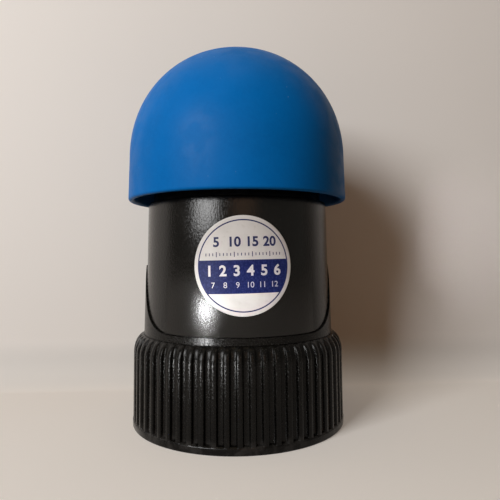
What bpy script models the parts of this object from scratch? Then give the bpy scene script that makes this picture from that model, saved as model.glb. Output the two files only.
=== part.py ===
"""Air release valve for a two inch water line.

A ribbed base holds a barrel with a float and a plug inside, and a dome cap covers the air outlet.
Z points up along the valve's axis, and the origin is the middle of the face that it stands on.
"""

import math
from collections import namedtuple

import bmesh
import bpy
from mathutils import Matrix, Vector

MM = 0.001
DEGREE = math.pi / 180

# Clearances
FIT_GAP = 0.3 * MM
FLOAT_GUIDE_GAP = 1.0 * MM
ORIFICE_GUIDE_GAP = 0.8 * MM
SCREW_HOLE_GAP = 0.3 * MM
LABEL_GAP = 0.1 * MM
OVERCUT = 1.0 * MM

# Facets round a full turn
LARGE_STEPS = 54
MEDIUM_STEPS = 36
SMALL_STEPS = 10
O_RING_STEPS = 6
EAR_STEPS = 8
WINDOW_STEPS = 24
CORNER_ROWS = 5
FILLET_ROWS = 3
HUB_STEPS = 24
SMOOTH_ANGLE = 32 * DEGREE

# Ribbed base, underside: the socket takes a two inch pipe thread, and all radii grow out of it
SOCKET_RADIUS = 29.8 * MM
SOCKET_DEPTH = 23.5 * MM
SOCKET_CHAMFER = 1.2 * MM
SOCKET_WALL = 4.2 * MM
MOAT_WIDTH = 6.0 * MM
SKIRT_WALL = 2.35 * MM
DECK_THICKNESS = 4.2 * MM
DECK_SKIN = 1.5 * MM
DECK_LEDGE = 4.3 * MM
WEB_COUNT = 12
WEB_THICKNESS = 1.8 * MM
WEB_RECESS = 0.8 * MM
WEB_ROOT = 0.6 * MM
WEB_START = 7.5 * DEGREE

# Ribbed base, outside
FOOT_LIP_HEIGHT = 2.4 * MM
FOOT_LIP_SLOPE = 0.9 * MM
FOOT_LIP_TAPER = 0.15 * MM
RIB_COUNT = 60
RIB_TURN = -1.5 * DEGREE
RIB_DEPTH = 1.3 * MM
RIB_SETBACK = 0.3 * MM
RIB_TAPER = 0.3 * MM
RIB_HEIGHT = 26.4 * MM
RIB_CREST_SHARE = 0.42
RIB_FLANK_SHARE = 0.09
SHOULDER_WIDTH = 4.4 * MM
SHOULDER_HEIGHT = 7.05 * MM
RIB_FADE_ANGLE = 78 * DEGREE
RIB_FADE_ROWS = (0.38, 0.72, 1.0)
SKIRT_RISE = 3.0 * MM
RIB_BACKING = 1.5 * MM

# Ribbed base, collar with its two ears
COLLAR_STEP = 0.25 * MM
COLLAR_WALL = 3.0 * MM
SILL_HEIGHT = 2.55 * MM
SILL_LEDGE = 0.87 * MM
EAR_HEIGHT = 28.15 * MM
EAR_LEAN = 0.87 * MM
COLLAR_ROOT = 0.4 * MM
WINDOW_SILL_REACH = 29.0 * MM
WINDOW_CORNER = 25.75 * MM
WINDOW_SIDE_SLOPE = 56 * DEGREE

# Float rest, the spoked ring that snaps into the deck
REST_COLLAR_WALL = 2.0 * MM
REST_COLLAR_DROP = 4.0 * MM
REST_FLANGE_THICKNESS = 1.5 * MM
REST_FLANGE_WIDTH = 7.6 * MM
REST_SPOKE_WIDTH = 2.4 * MM
REST_SPOKE_HEIGHT = 5.0 * MM
REST_SPOKE_RISE = 0.8 * MM
REST_SPOKE_BARS = 3
REST_HUB_RADIUS = 5.0 * MM

# Barrel
BARREL_TOP = 90.3 * MM
BARREL_DRAFT = 1.28 * DEGREE
BARREL_EDGE = 0.5 * MM
POCKET_WALL = 2.8 * MM
SPIGOT_WALL = 4.2 * MM
SPIGOT_CONE_START = 8.2 * MM
SPIGOT_CONE_HEIGHT = 4.0 * MM
NOSE_WALL = 1.7 * MM
O_RING_THICKNESS = 2.2 * MM
NECK_STEP = 2.3 * MM
NECK_WALL = 3.2 * MM
NECK_CONE_HEIGHT = 2.5 * MM
TOP_PLATE = 3.0 * MM
FLANGE_OVERHANG = 1.8 * MM
ORIFICE_RADIUS = 17.0 * MM
ORIFICE_CHAMFER = 0.6 * MM
SEAT_WIDTH = 2.0 * MM
SEAT_HEIGHT = 1.2 * MM
GUIDE_RIB_COUNT = 6
GUIDE_RIB_THICKNESS = 2.5 * MM
GUIDE_RIB_START = 6.0 * MM
GUIDE_RIB_LEAD_IN = 7.0 * MM
RIB_ROOT = 0.5 * MM

# Label
LABEL_RADIUS = 18.0 * MM
LABEL_THICKNESS = 0.25 * MM
LABEL_COLUMNS = 20
LABEL_TURN = 1.0 * DEGREE

# Dome cap
DOME_OVERHANG = 8.25 * MM
DOME_SKIRT_TAPER = 0.55 * MM
DOME_RIM_LIFT = 1.0 * MM
DOME_SKIRT_HEIGHT = 17.3 * MM
DOME_CROWN_HEIGHT = 46.5 * MM
DOME_CROWN_POWER = 2.07
DOME_WALL = 2.3 * MM
DOME_RIM_EDGE = 0.9 * MM
DOME_OUTER_ROWS = 10
DOME_INNER_ROWS = 5
CLIP_COUNT = 6
CLIP_THICKNESS = 2.0 * MM
CLIP_REACH = 1.4 * MM
CLIP_HOOK_HEIGHT = 2.5 * MM
CLIP_TAIL = 10.0 * MM
CLIP_SHELF = 6.0 * MM
CLIP_SHELF_HEIGHT = 3.5 * MM
CLIP_GUSSET = 8.0 * MM

# Float
FLOAT_FLOW_GAP = 6.0 * MM
FLOAT_HEIGHT = 37.4 * MM
FLOAT_FOOT_FILLET = 6.0 * MM
FLOAT_TOP_FILLET = 2.5 * MM
FLOAT_DIMPLE_RADIUS = 9.0 * MM
FLOAT_DIMPLE_DEPTH = 1.0 * MM

# Clamping stem on the float
STEM_SHANK_RADIUS = 4.0 * MM
STEM_SHANK_LENGTH = 11.0 * MM
STEM_DISC_RADIUS = 13.5 * MM
STEM_DISC_THICKNESS = 2.5 * MM
STEM_POST_FRONT = 6.0 * MM
STEM_POST_THICKNESS = 5.5 * MM
STEM_POST_HEIGHT = 6.6 * MM
CLAMP_WIDTH = 14.0 * MM
CLAMP_THICKNESS = 2.0 * MM
STEM_CLAMP_HEIGHT = 5.6 * MM
STEM_CLAMP_LIFT = 0.6 * MM

# Plug
PLUG_MARGIN = 1.5 * MM
PLUG_THICKNESS = 5.0 * MM
PLUG_ARM_COUNT = 3
PLUG_ARM_GAP = 1.0 * MM
PLUG_ARM_WIDTH = 5.0 * MM
PLUG_ARM_THICKNESS = 4.0 * MM
NOZZLE_LENGTH = 10.0 * MM
NOZZLE_WIDTH = 2.4 * MM
SEAL_TUCK = 3.0 * MM
SEAL_THICKNESS = 2.5 * MM
RETAINER_FLANGE = 2.0 * MM
RETAINER_VENT_RADIUS = 5.6 * MM
GUIDE_FIN_COUNT = 3
GUIDE_FIN_THICKNESS = 2.0 * MM
GUIDE_FIN_INSET = 1.4 * MM
GUIDE_FIN_OVERLAP = 4.0 * MM
BAR_CLAMP_START = 9.0 * MM
BAR_CLAMP_LENGTH = 5.5 * MM

# Rolling seal, the strip that peels off the nozzle
STRIP_WIDTH = 11.0 * MM
STRIP_THICKNESS = 2.0 * MM
STRIP_BEND_RADIUS = 2.3 * MM
STRIP_BEND_ANGLE = 69 * DEGREE
STRIP_BEND_STEPS = 5
STRIP_SLOPE_STEPS = 6
STRIP_SLOPE_POWER = 1.5

# Screws
Screw = namedtuple("Screw", "head_radius head_height shank_radius shank_length")
RETAINER_SCREW = Screw(
    head_radius=2.6 * MM,
    head_height=1.8 * MM,
    shank_radius=1.4 * MM,
    shank_length=8.4 * MM,
)
CLAMP_SCREW = Screw(
    head_radius=2.0 * MM,
    head_height=1.4 * MM,
    shank_radius=1.0 * MM,
    shank_length=6.6 * MM,
)
SCREW_HEAD_SIDE = 0.6
SCREW_HEAD_TOP = 0.75
CLAMP_SCREW_SPACING = 7.2 * MM

# Travel
PLUG_TRAVEL = 18.0 * MM
FLOAT_TRAVEL = 6.0 * MM

# Heights and radii that follow
LIP_TOP = FOOT_LIP_HEIGHT + FOOT_LIP_SLOPE
RIB_TOP = LIP_TOP + RIB_HEIGHT
SOCKET_OUTER_RADIUS = SOCKET_RADIUS + SOCKET_WALL
SKIRT_INNER_RADIUS = SOCKET_OUTER_RADIUS + MOAT_WIDTH
RIB_HIGH_RADIUS = SKIRT_INNER_RADIUS + SKIRT_WALL + RIB_DEPTH
RIB_LOW_RADIUS = RIB_HIGH_RADIUS + RIB_TAPER
FOOT_RADIUS = RIB_LOW_RADIUS + RIB_SETBACK
SHOULDER_TOP = RIB_TOP + SHOULDER_HEIGHT
SHOULDER_RADIUS = RIB_HIGH_RADIUS - SHOULDER_WIDTH
COLLAR_RADIUS = SHOULDER_RADIUS + COLLAR_STEP
POCKET_RADIUS = COLLAR_RADIUS - COLLAR_WALL
SILL_TOP = SHOULDER_TOP + SILL_HEIGHT
EAR_TOP = SHOULDER_TOP + EAR_HEIGHT
DECK_TOP = SOCKET_DEPTH + DECK_THICKNESS
DECK_HOLE_RADIUS = SOCKET_RADIUS - DECK_LEDGE

REST_COLLAR_RADIUS = DECK_HOLE_RADIUS - FIT_GAP
REST_BOTTOM = DECK_TOP - REST_COLLAR_DROP
REST_FLANGE_BOTTOM = DECK_TOP + FIT_GAP
REST_FLANGE_TOP = REST_FLANGE_BOTTOM + REST_FLANGE_THICKNESS
SPOKE_TOP = REST_FLANGE_TOP + REST_SPOKE_RISE

SPIGOT_RADIUS = POCKET_RADIUS - FIT_GAP
SPIGOT_BORE_RADIUS = SPIGOT_RADIUS - SPIGOT_WALL
CHAMBER_RADIUS = SPIGOT_RADIUS - POCKET_WALL
NOSE_RADIUS = SPIGOT_BORE_RADIUS + NOSE_WALL
NOSE_BOTTOM = REST_FLANGE_TOP + FIT_GAP
O_RING_BOTTOM = DECK_TOP + FIT_GAP
SPIGOT_BOTTOM = O_RING_BOTTOM + O_RING_THICKNESS + FIT_GAP
PANEL_BOTTOM = SILL_TOP + FIT_GAP
BARREL_TOP_RADIUS = COLLAR_RADIUS - SILL_LEDGE - (BARREL_TOP - PANEL_BOTTOM) * math.tan(BARREL_DRAFT)
LABEL_CENTRE = (PANEL_BOTTOM + BARREL_TOP) / 2
NECK_RADIUS = BARREL_TOP_RADIUS - NECK_STEP
NECK_BORE_RADIUS = NECK_RADIUS - NECK_WALL

FLOAT_RADIUS = SPIGOT_BORE_RADIUS - FLOAT_FLOW_GAP
FLOAT_BOTTOM = SPOKE_TOP + FIT_GAP
FLOAT_TOP = FLOAT_BOTTOM + FLOAT_HEIGHT
STEM_DISC_BOTTOM = FLOAT_TOP + FIT_GAP
STEM_DISC_TOP = STEM_DISC_BOTTOM + STEM_DISC_THICKNESS
POST_TOP = STEM_DISC_TOP + STEM_POST_HEIGHT
GUIDE_RIB_RADIUS = FLOAT_RADIUS + FLOAT_GUIDE_GAP

PLUG_RADIUS = ORIFICE_RADIUS + SEAT_WIDTH + PLUG_MARGIN
PLUG_ARM_RADIUS = NECK_BORE_RADIUS - PLUG_ARM_GAP
SEAL_OUTER_RADIUS = PLUG_RADIUS - FIT_GAP
SEAL_INNER_RADIUS = ORIFICE_RADIUS - SEAL_TUCK
RETAINER_SCREW_CIRCLE = (RETAINER_VENT_RADIUS + SEAL_INNER_RADIUS) / 2
GUIDE_FIN_ROOT = RETAINER_VENT_RADIUS + GUIDE_FIN_INSET
STRIP_TOP = POST_TOP + FLOAT_TRAVEL + FIT_GAP + STRIP_THICKNESS
PLUG_BOTTOM = STRIP_TOP + FIT_GAP
PLUG_TOP = PLUG_BOTTOM + PLUG_THICKNESS
SEAL_BOTTOM = PLUG_TOP + FIT_GAP
SEAL_TOP = SEAL_BOTTOM + SEAL_THICKNESS
RETAINER_FLANGE_BOTTOM = SEAL_TOP + FIT_GAP
RETAINER_TOP = RETAINER_FLANGE_BOTTOM + RETAINER_FLANGE
GUIDE_FIN_RADIUS = ORIFICE_RADIUS - ORIFICE_GUIDE_GAP

SEAT_BOTTOM = SEAL_TOP + FIT_GAP + PLUG_TRAVEL
PLATE_BOTTOM = SEAT_BOTTOM + SEAT_HEIGHT
PLATE_TOP = PLATE_BOTTOM + TOP_PLATE
FLANGE_RADIUS = NECK_RADIUS + FLANGE_OVERHANG
GUIDE_FIN_TOP = PLATE_TOP + GUIDE_FIN_OVERLAP

DOME_RIM_RADIUS = BARREL_TOP_RADIUS + DOME_OVERHANG
DOME_RIM_BOTTOM = BARREL_TOP + DOME_RIM_LIFT
DOME_SPRING = DOME_RIM_BOTTOM + DOME_SKIRT_HEIGHT
DOME_SPRING_RADIUS = DOME_RIM_RADIUS - DOME_SKIRT_TAPER


# Objects and materials


def clear_scene():
    for old in list(bpy.data.objects):
        bpy.data.objects.remove(old, do_unlink=True)


def plastic(name, colour, roughness):
    """A material of one Principled BSDF, with no metal in it."""
    material = bpy.data.materials.new(name)
    material.use_nodes = True
    shader = material.node_tree.nodes["Principled BSDF"]
    shader.inputs["Base Color"].default_value = (*colour, 1)
    shader.inputs["Roughness"].default_value = roughness
    shader.inputs["Metallic"].default_value = 0
    material.diffuse_color = (*colour, 1)
    return material


def steel(name):
    material = plastic(name, (0.56, 0.56, 0.55), 0.32)
    material.node_tree.nodes["Principled BSDF"].inputs["Metallic"].default_value = 1
    return material


def object_from(name, mesh, material=None):
    """Turns a bmesh into an object, with its faces pointing out."""
    bmesh.ops.recalc_face_normals(mesh, faces=mesh.faces)
    data = bpy.data.meshes.new(name)
    mesh.to_mesh(data)
    mesh.free()
    made = bpy.data.objects.new(name, data)
    bpy.context.scene.collection.objects.link(made)
    if material:
        data.materials.append(material)
    return made


def smooth(piece):
    piece.data.shade_smooth()
    piece.data.set_sharp_from_angle(angle=SMOOTH_ANGLE)


def combine(piece, operation, tools):
    """Runs a Boolean with each tool in turn, keeps the result and removes the tools."""
    for tool in tools:
        tool.hide_render = True
        tool.display_type = "WIRE"
        modifier = piece.modifiers.new(operation.lower(), "BOOLEAN")
        modifier.operation = operation
        modifier.solver = "EXACT"
        modifier.object = tool
    bpy.context.view_layer.update()
    evaluated = piece.evaluated_get(bpy.context.evaluated_depsgraph_get())
    result = bpy.data.meshes.new_from_object(evaluated)
    piece.modifiers.clear()
    piece.data = result
    for tool in tools:
        bpy.data.objects.remove(tool, do_unlink=True)


def join(piece, tools):
    combine(piece, "UNION", tools)


def cut(piece, tools):
    combine(piece, "DIFFERENCE", tools)


# Shapes


def turned_mesh(profile, steps=LARGE_STEPS):
    """Spins a closed outline of (radius, height) points about the Z axis."""
    mesh = bmesh.new()
    corners = [mesh.verts.new((radius, 0, height)) for radius, height in profile]
    edges = [mesh.edges.new((a, b)) for a, b in zip(corners, corners[1:] + corners[:1])]
    on_axis = [edge for edge in edges if all(abs(v.co.x) < 1e-9 for v in edge.verts)]
    edges = [edge for edge in edges if edge not in on_axis]
    bmesh.ops.delete(mesh, geom=on_axis, context="EDGES_FACES")
    bmesh.ops.spin(
        mesh,
        geom=corners + edges,
        cent=(0, 0, 0),
        axis=(0, 0, 1),
        angle=2 * math.pi,
        steps=steps,
        use_merge=True,
    )
    bmesh.ops.remove_doubles(mesh, verts=mesh.verts, dist=1e-7)
    return mesh


def turned(name, profile, material=None, steps=LARGE_STEPS):
    return object_from(name, turned_mesh(profile, steps), material)


def round_bar(name, radius, low, high, at=(0, 0), steps=SMALL_STEPS):
    """An upright cylinder from height low to height high."""
    mesh = bmesh.new()
    middle = Matrix.Translation((at[0], at[1], (low + high) / 2))
    bmesh.ops.create_cone(
        mesh,
        cap_ends=True,
        segments=steps,
        radius1=radius,
        radius2=radius,
        depth=high - low,
        matrix=middle,
    )
    return object_from(name, mesh)


def block(name, low, high, turn=0.0, material=None):
    """A box between two corners, turned about the Z axis."""
    mesh = bmesh.new()
    low, high = Vector(low), Vector(high)
    place = Matrix.Translation((low + high) / 2) @ Matrix.Diagonal((*(high - low), 1))
    bmesh.ops.create_cube(mesh, size=1, matrix=Matrix.Rotation(turn, 4, "Z") @ place)
    return object_from(name, mesh, material)


def plate(name, outline, thickness, turn=0.0):
    """A flat plate along a radius: an outline of (radius, height) points with a thickness."""
    mesh = bmesh.new()
    corners = [mesh.verts.new((x, -thickness / 2, z)) for x, z in outline]
    face = mesh.faces.new(corners)
    pushed = bmesh.ops.extrude_face_region(mesh, geom=[face])["geom"]
    moved = [item for item in pushed if isinstance(item, bmesh.types.BMVert)]
    bmesh.ops.translate(mesh, vec=(0, thickness, 0), verts=moved)
    bmesh.ops.rotate(mesh, cent=(0, 0, 0), matrix=Matrix.Rotation(turn, 3, "Z"), verts=mesh.verts)
    return object_from(name, mesh)


def sector(name, levels, inner, outer, middle, steps):
    """A block bent round the Z axis, from (height, half angle) levels, low to high."""
    mesh = bmesh.new()
    rows = []
    for height, half in levels:
        for radius in (inner, outer):
            angles = [middle + half * (2 * i / steps - 1) for i in range(steps + 1)]
            points = [(radius * math.cos(a), radius * math.sin(a), height) for a in angles]
            rows.append([mesh.verts.new(point) for point in points])
    inner_rows, outer_rows = rows[0::2], rows[1::2]
    for side in (inner_rows, outer_rows):
        for lower, upper in zip(side, side[1:]):
            for i in range(steps):
                mesh.faces.new((lower[i], lower[i + 1], upper[i + 1], upper[i]))
    for i in (0, steps):
        for k in range(len(levels) - 1):
            mesh.faces.new((inner_rows[k][i], outer_rows[k][i], outer_rows[k + 1][i], inner_rows[k + 1][i]))
    for k in (0, len(levels) - 1):
        for i in range(steps):
            mesh.faces.new((inner_rows[k][i], inner_rows[k][i + 1], outer_rows[k][i + 1], outer_rows[k][i]))
    return object_from(name, mesh)


def spread(count, start=0.0):
    """Angles of a number of places set evenly round the axis."""
    return [start + 2 * math.pi * i / count for i in range(count)]


# Ribbed base


def barrel_radius(height):
    return BARREL_TOP_RADIUS + (BARREL_TOP - height) * math.tan(BARREL_DRAFT)


def window_levels(top, gap):
    """Height and half angle of the opening between the ears: a sill, wide round corners and slanted sides."""
    corner = WINDOW_CORNER - gap
    levels = []
    for k in range(CORNER_ROWS + 1):
        turn = WINDOW_SIDE_SLOPE * k / CORNER_ROWS
        height = SILL_TOP + WINDOW_CORNER - corner * math.cos(turn)
        levels.append((height, (WINDOW_SILL_REACH + corner * math.sin(turn)) / COLLAR_RADIUS))
    height, half = levels[-1]
    levels.append((top, half + (top - height) / math.tan(WINDOW_SIDE_SLOPE) / COLLAR_RADIUS))
    return levels


def rib_ring():
    """The ribbed skin of the base: straight ribs that fade out over a round shoulder."""
    rows = [(FOOT_LIP_HEIGHT / 2, RIB_LOW_RADIUS, RIB_DEPTH, 0), (RIB_TOP, RIB_HIGH_RADIUS, RIB_DEPTH, 0)]
    for share in RIB_FADE_ROWS:
        slope = share * RIB_FADE_ANGLE
        height = RIB_TOP + SHOULDER_HEIGHT * math.sin(slope)
        radius = SHOULDER_RADIUS + SHOULDER_WIDTH * math.cos(slope)
        rows.append((height, radius, RIB_DEPTH * (1 - share**2), slope))
    pitch = 2 * math.pi / RIB_COUNT
    half_crest = RIB_CREST_SHARE / 2
    half_groove = half_crest + RIB_FLANK_SHARE
    corners = ((-half_crest, 0), (half_crest, 0), (half_groove, 1), (1 - half_groove, 1))
    mesh = bmesh.new()
    outer_rings, inner_rings = [], []
    for height, radius, depth, slope in rows:
        outer, inner = [], []
        for k in range(RIB_COUNT):
            for share, sunk in corners:
                angle = RIB_TURN + (k + share) * pitch
                across, along = math.sin(angle), -math.cos(angle)
                reach = radius - sunk * depth * math.cos(slope)
                level = height - sunk * depth * math.sin(slope)
                back = radius - depth - RIB_BACKING
                outer.append(mesh.verts.new((reach * across, reach * along, level)))
                inner.append(mesh.verts.new((back * across, back * along, height)))
        outer_rings.append(outer)
        inner_rings.append(inner)
    loops = [*outer_rings, *reversed(inner_rings)]
    for one, other in zip(loops, loops[1:] + loops[:1]):
        for i in range(len(one)):
            j = (i + 1) % len(one)
            mesh.faces.new((one[i], one[j], other[j], other[i]))
    return mesh


def base_outline():
    """The base without its ribs: foot lip, skirt, collar, pocket for the barrel, deck and threaded socket."""
    skirt_outer = RIB_HIGH_RADIUS - RIB_DEPTH - RIB_BACKING / 2
    ceiling = SOCKET_DEPTH - DECK_SKIN
    return [
        (FOOT_RADIUS, 0),
        (FOOT_RADIUS - FOOT_LIP_TAPER, FOOT_LIP_HEIGHT),
        (skirt_outer, LIP_TOP),
        (skirt_outer, RIB_TOP + SKIRT_RISE),
        (COLLAR_RADIUS, SHOULDER_TOP - COLLAR_ROOT),
        (COLLAR_RADIUS, SHOULDER_TOP),
        (COLLAR_RADIUS - EAR_LEAN, EAR_TOP),
        (POCKET_RADIUS, EAR_TOP),
        (POCKET_RADIUS, DECK_TOP),
        (DECK_HOLE_RADIUS, DECK_TOP),
        (DECK_HOLE_RADIUS, SOCKET_DEPTH),
        (SOCKET_RADIUS, SOCKET_DEPTH),
        (SOCKET_RADIUS, SOCKET_CHAMFER),
        (SOCKET_RADIUS + SOCKET_CHAMFER, 0),
        (SOCKET_OUTER_RADIUS, 0),
        (SOCKET_OUTER_RADIUS, ceiling),
        (SKIRT_INNER_RADIUS, ceiling),
        (SKIRT_INNER_RADIUS, 0),
    ]


def base_webs():
    """Flat webs that tie the socket to the skirt, seen from below."""
    near = SOCKET_OUTER_RADIUS - WEB_ROOT
    far = SKIRT_INNER_RADIUS + WEB_ROOT
    top = SOCKET_DEPTH - DECK_SKIN + WEB_ROOT
    outline = [(near, WEB_RECESS), (far, WEB_RECESS), (far, top), (near, top)]
    return [plate("web", outline, WEB_THICKNESS, turn) for turn in spread(WEB_COUNT, WEB_START)]


def ribbed_base(material):
    base = turned("ribbed_base", base_outline(), material)
    join(base, [object_from("ribs", rib_ring()), *base_webs()])
    levels = window_levels(EAR_TOP + OVERCUT, 0)
    windows = [
        sector("window", levels, POCKET_RADIUS - OVERCUT, COLLAR_RADIUS + OVERCUT, middle, WINDOW_STEPS)
        for middle in (-math.pi / 2, math.pi / 2)
    ]
    cut(base, windows)
    return base


def float_rest(material):
    """A ring with three bars across it, on which the float lies while the valve is empty."""
    inner = REST_COLLAR_RADIUS - REST_COLLAR_WALL
    flange = REST_COLLAR_RADIUS + REST_FLANGE_WIDTH
    rest = turned(
        "float_rest",
        [
            (inner, REST_BOTTOM),
            (REST_COLLAR_RADIUS, REST_BOTTOM),
            (REST_COLLAR_RADIUS, REST_FLANGE_BOTTOM),
            (flange, REST_FLANGE_BOTTOM),
            (flange, REST_FLANGE_TOP),
            (inner, REST_FLANGE_TOP),
        ],
        material,
        MEDIUM_STEPS,
    )
    reach = inner + REST_COLLAR_WALL / 2
    half = REST_SPOKE_WIDTH / 2
    bottom = SPOKE_TOP - REST_SPOKE_HEIGHT
    bars = [
        block("bar", (-reach, -half, bottom), (reach, half, SPOKE_TOP), turn)
        for turn in (math.pi * i / REST_SPOKE_BARS for i in range(REST_SPOKE_BARS))
    ]
    hub = round_bar("hub", REST_HUB_RADIUS, bottom - FIT_GAP, SPOKE_TOP - FIT_GAP, steps=HUB_STEPS)
    join(rest, [*bars, hub])
    return rest


# Barrel and its O-ring


def barrel_profile():
    """The barrel's wall from its nose up to the orifice and back down inside."""
    panel_bottom_radius = barrel_radius(PANEL_BOTTOM)
    return [
        (SPIGOT_BORE_RADIUS, NOSE_BOTTOM),
        (NOSE_RADIUS, NOSE_BOTTOM),
        (NOSE_RADIUS, SPIGOT_BOTTOM),
        (SPIGOT_RADIUS, SPIGOT_BOTTOM),
        (SPIGOT_RADIUS, PANEL_BOTTOM),
        (panel_bottom_radius, PANEL_BOTTOM),
        (barrel_radius(BARREL_TOP - BARREL_EDGE), BARREL_TOP - BARREL_EDGE),
        (BARREL_TOP_RADIUS - BARREL_EDGE, BARREL_TOP),
        (NECK_RADIUS, BARREL_TOP),
        (NECK_RADIUS, PLATE_BOTTOM),
        (FLANGE_RADIUS, PLATE_BOTTOM),
        (FLANGE_RADIUS, PLATE_TOP),
        (ORIFICE_RADIUS + ORIFICE_CHAMFER, PLATE_TOP),
        (ORIFICE_RADIUS, PLATE_TOP - ORIFICE_CHAMFER),
        (ORIFICE_RADIUS, SEAT_BOTTOM),
        (ORIFICE_RADIUS + SEAT_WIDTH, SEAT_BOTTOM),
        (ORIFICE_RADIUS + SEAT_WIDTH, PLATE_BOTTOM),
        (NECK_BORE_RADIUS, PLATE_BOTTOM),
        (NECK_BORE_RADIUS, BARREL_TOP),
        (CHAMBER_RADIUS, BARREL_TOP - NECK_CONE_HEIGHT),
        (CHAMBER_RADIUS, NOSE_BOTTOM + SPIGOT_CONE_START + SPIGOT_CONE_HEIGHT),
        (SPIGOT_BORE_RADIUS, NOSE_BOTTOM + SPIGOT_CONE_START),
    ]


def barrel(material):
    """The barrel, recessed at the sides for the ears and ribbed inside to guide the float."""
    body = turned("barrel", barrel_profile(), material)
    panel = window_levels(EAR_TOP + FIT_GAP, FIT_GAP)
    ear_levels = [(PANEL_BOTTOM - OVERCUT, math.pi / 2 - panel[0][1])]
    ear_levels += [(height, math.pi / 2 - half) for height, half in panel]
    recesses = [
        sector("recess", ear_levels, SPIGOT_RADIUS, COLLAR_RADIUS + OVERCUT, middle, EAR_STEPS)
        for middle in (0, math.pi)
    ]
    cut(body, recesses)
    root = CHAMBER_RADIUS + RIB_ROOT
    start = NOSE_BOTTOM + GUIDE_RIB_START
    outline = [
        (root, start),
        (GUIDE_RIB_RADIUS, start + GUIDE_RIB_LEAD_IN),
        (GUIDE_RIB_RADIUS, PLUG_BOTTOM - FIT_GAP),
        (root, PLUG_BOTTOM - FIT_GAP),
    ]
    ribs = [plate("rib", outline, GUIDE_RIB_THICKNESS, turn) for turn in spread(GUIDE_RIB_COUNT, math.pi / 2)]
    join(body, ribs)
    return body


def o_ring(material):
    """The ring that seals the barrel's nose in the base."""
    radius = O_RING_THICKNESS / 2
    centre = (NOSE_RADIUS + POCKET_RADIUS) / 2
    height = O_RING_BOTTOM + radius
    outline = [(centre + radius * math.cos(a), height + radius * math.sin(a)) for a in spread(O_RING_STEPS)]
    return turned("body_o_ring", outline, material, MEDIUM_STEPS)


def front_label(material):
    """A thin round label wrapped round the barrel's front, stuck on a little to the right."""
    mesh = bmesh.new()
    columns = []
    for k in range(LABEL_COLUMNS + 1):
        turn = math.pi * (k / LABEL_COLUMNS - 0.5)
        side = LABEL_RADIUS * math.sin(turn)
        half = LABEL_RADIUS * math.cos(turn)
        heights = [LABEL_CENTRE] if k in (0, LABEL_COLUMNS) else [LABEL_CENTRE - half, LABEL_CENTRE + half]
        angle = LABEL_TURN + side / barrel_radius(LABEL_CENTRE)
        column = []
        for offset in (LABEL_GAP, LABEL_GAP + LABEL_THICKNESS):
            for height in heights:
                radius = barrel_radius(height) + offset
                column.append(mesh.verts.new((radius * math.sin(angle), -radius * math.cos(angle), height)))
        columns.append(column)
    for left, right in zip(columns, columns[1:]):
        for side in (0, 1):
            a = left[side * len(left) // 2 : (side + 1) * len(left) // 2]
            b = right[side * len(right) // 2 : (side + 1) * len(right) // 2]
            mesh.faces.new([*a, *reversed(b)])
        mesh.faces.new((left[0], right[0], right[len(right) // 2], left[len(left) // 2]))
        mesh.faces.new((left[len(left) // 2 - 1], right[len(right) // 2 - 1], right[-1], left[-1]))
    return object_from("front_label", mesh, material)


# Dome cap


def crown(spring_radius, crown_height, rows):
    """A slightly squared hemisphere, as (radius, height) points from its spring line to its pole."""
    points = []
    for k in range(rows + 1):
        turn = math.pi / 2 * k / rows
        radius = spring_radius * math.cos(turn) ** (2 / DOME_CROWN_POWER)
        height = DOME_SPRING + crown_height * math.sin(turn) ** (2 / DOME_CROWN_POWER)
        points.append((0 if k == rows else radius, height))
    return points


def shell_middle(height):
    """Radius of the middle of the dome's wall at a height."""
    spring = DOME_SPRING_RADIUS - DOME_WALL / 2
    if height <= DOME_SPRING:
        return spring
    rise = (height - DOME_SPRING) / (DOME_CROWN_HEIGHT - DOME_WALL / 2)
    return spring * (1 - rise**DOME_CROWN_POWER) ** (1 / DOME_CROWN_POWER)


def clip_outline():
    """One snap clip: a hook under the barrel's flange and a shelf that stands on its top plate."""
    hook = FLANGE_RADIUS - CLIP_REACH
    flange = FLANGE_RADIUS + FIT_GAP
    hook_top = PLATE_BOTTOM - FIT_GAP
    shelf = PLATE_TOP + FIT_GAP
    shelf_radius = FLANGE_RADIUS - CLIP_SHELF
    tail = hook_top - CLIP_HOOK_HEIGHT - CLIP_TAIL
    gusset_top = shelf + CLIP_SHELF_HEIGHT + CLIP_GUSSET
    heights = [gusset_top + (tail - gusset_top) * i / 6 for i in range(7)]
    return [
        (flange, tail),
        (hook, hook_top - CLIP_HOOK_HEIGHT),
        (hook, hook_top),
        (flange, hook_top),
        (flange, shelf),
        (shelf_radius, shelf),
        (shelf_radius, shelf + CLIP_SHELF_HEIGHT),
        *[(shell_middle(height), height) for height in heights],
    ]


def dome_cap(material):
    inner_rim = DOME_RIM_RADIUS - DOME_WALL
    outer = crown(DOME_SPRING_RADIUS, DOME_CROWN_HEIGHT, DOME_OUTER_ROWS)
    inner = crown(DOME_SPRING_RADIUS - DOME_WALL, DOME_CROWN_HEIGHT - DOME_WALL, DOME_INNER_ROWS)
    rim = [
        (inner_rim, DOME_RIM_BOTTOM + DOME_RIM_EDGE),
        (inner_rim + DOME_RIM_EDGE, DOME_RIM_BOTTOM),
        (DOME_RIM_RADIUS - DOME_RIM_EDGE, DOME_RIM_BOTTOM),
        (DOME_RIM_RADIUS, DOME_RIM_BOTTOM + DOME_RIM_EDGE),
    ]
    cap = turned("dome_cap", [*rim, *outer, *reversed(inner)], material)
    clips = [plate("clip", clip_outline(), CLIP_THICKNESS, turn) for turn in spread(CLIP_COUNT)]
    join(cap, clips)
    return cap


# Float and what clamps the strip to it


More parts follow.
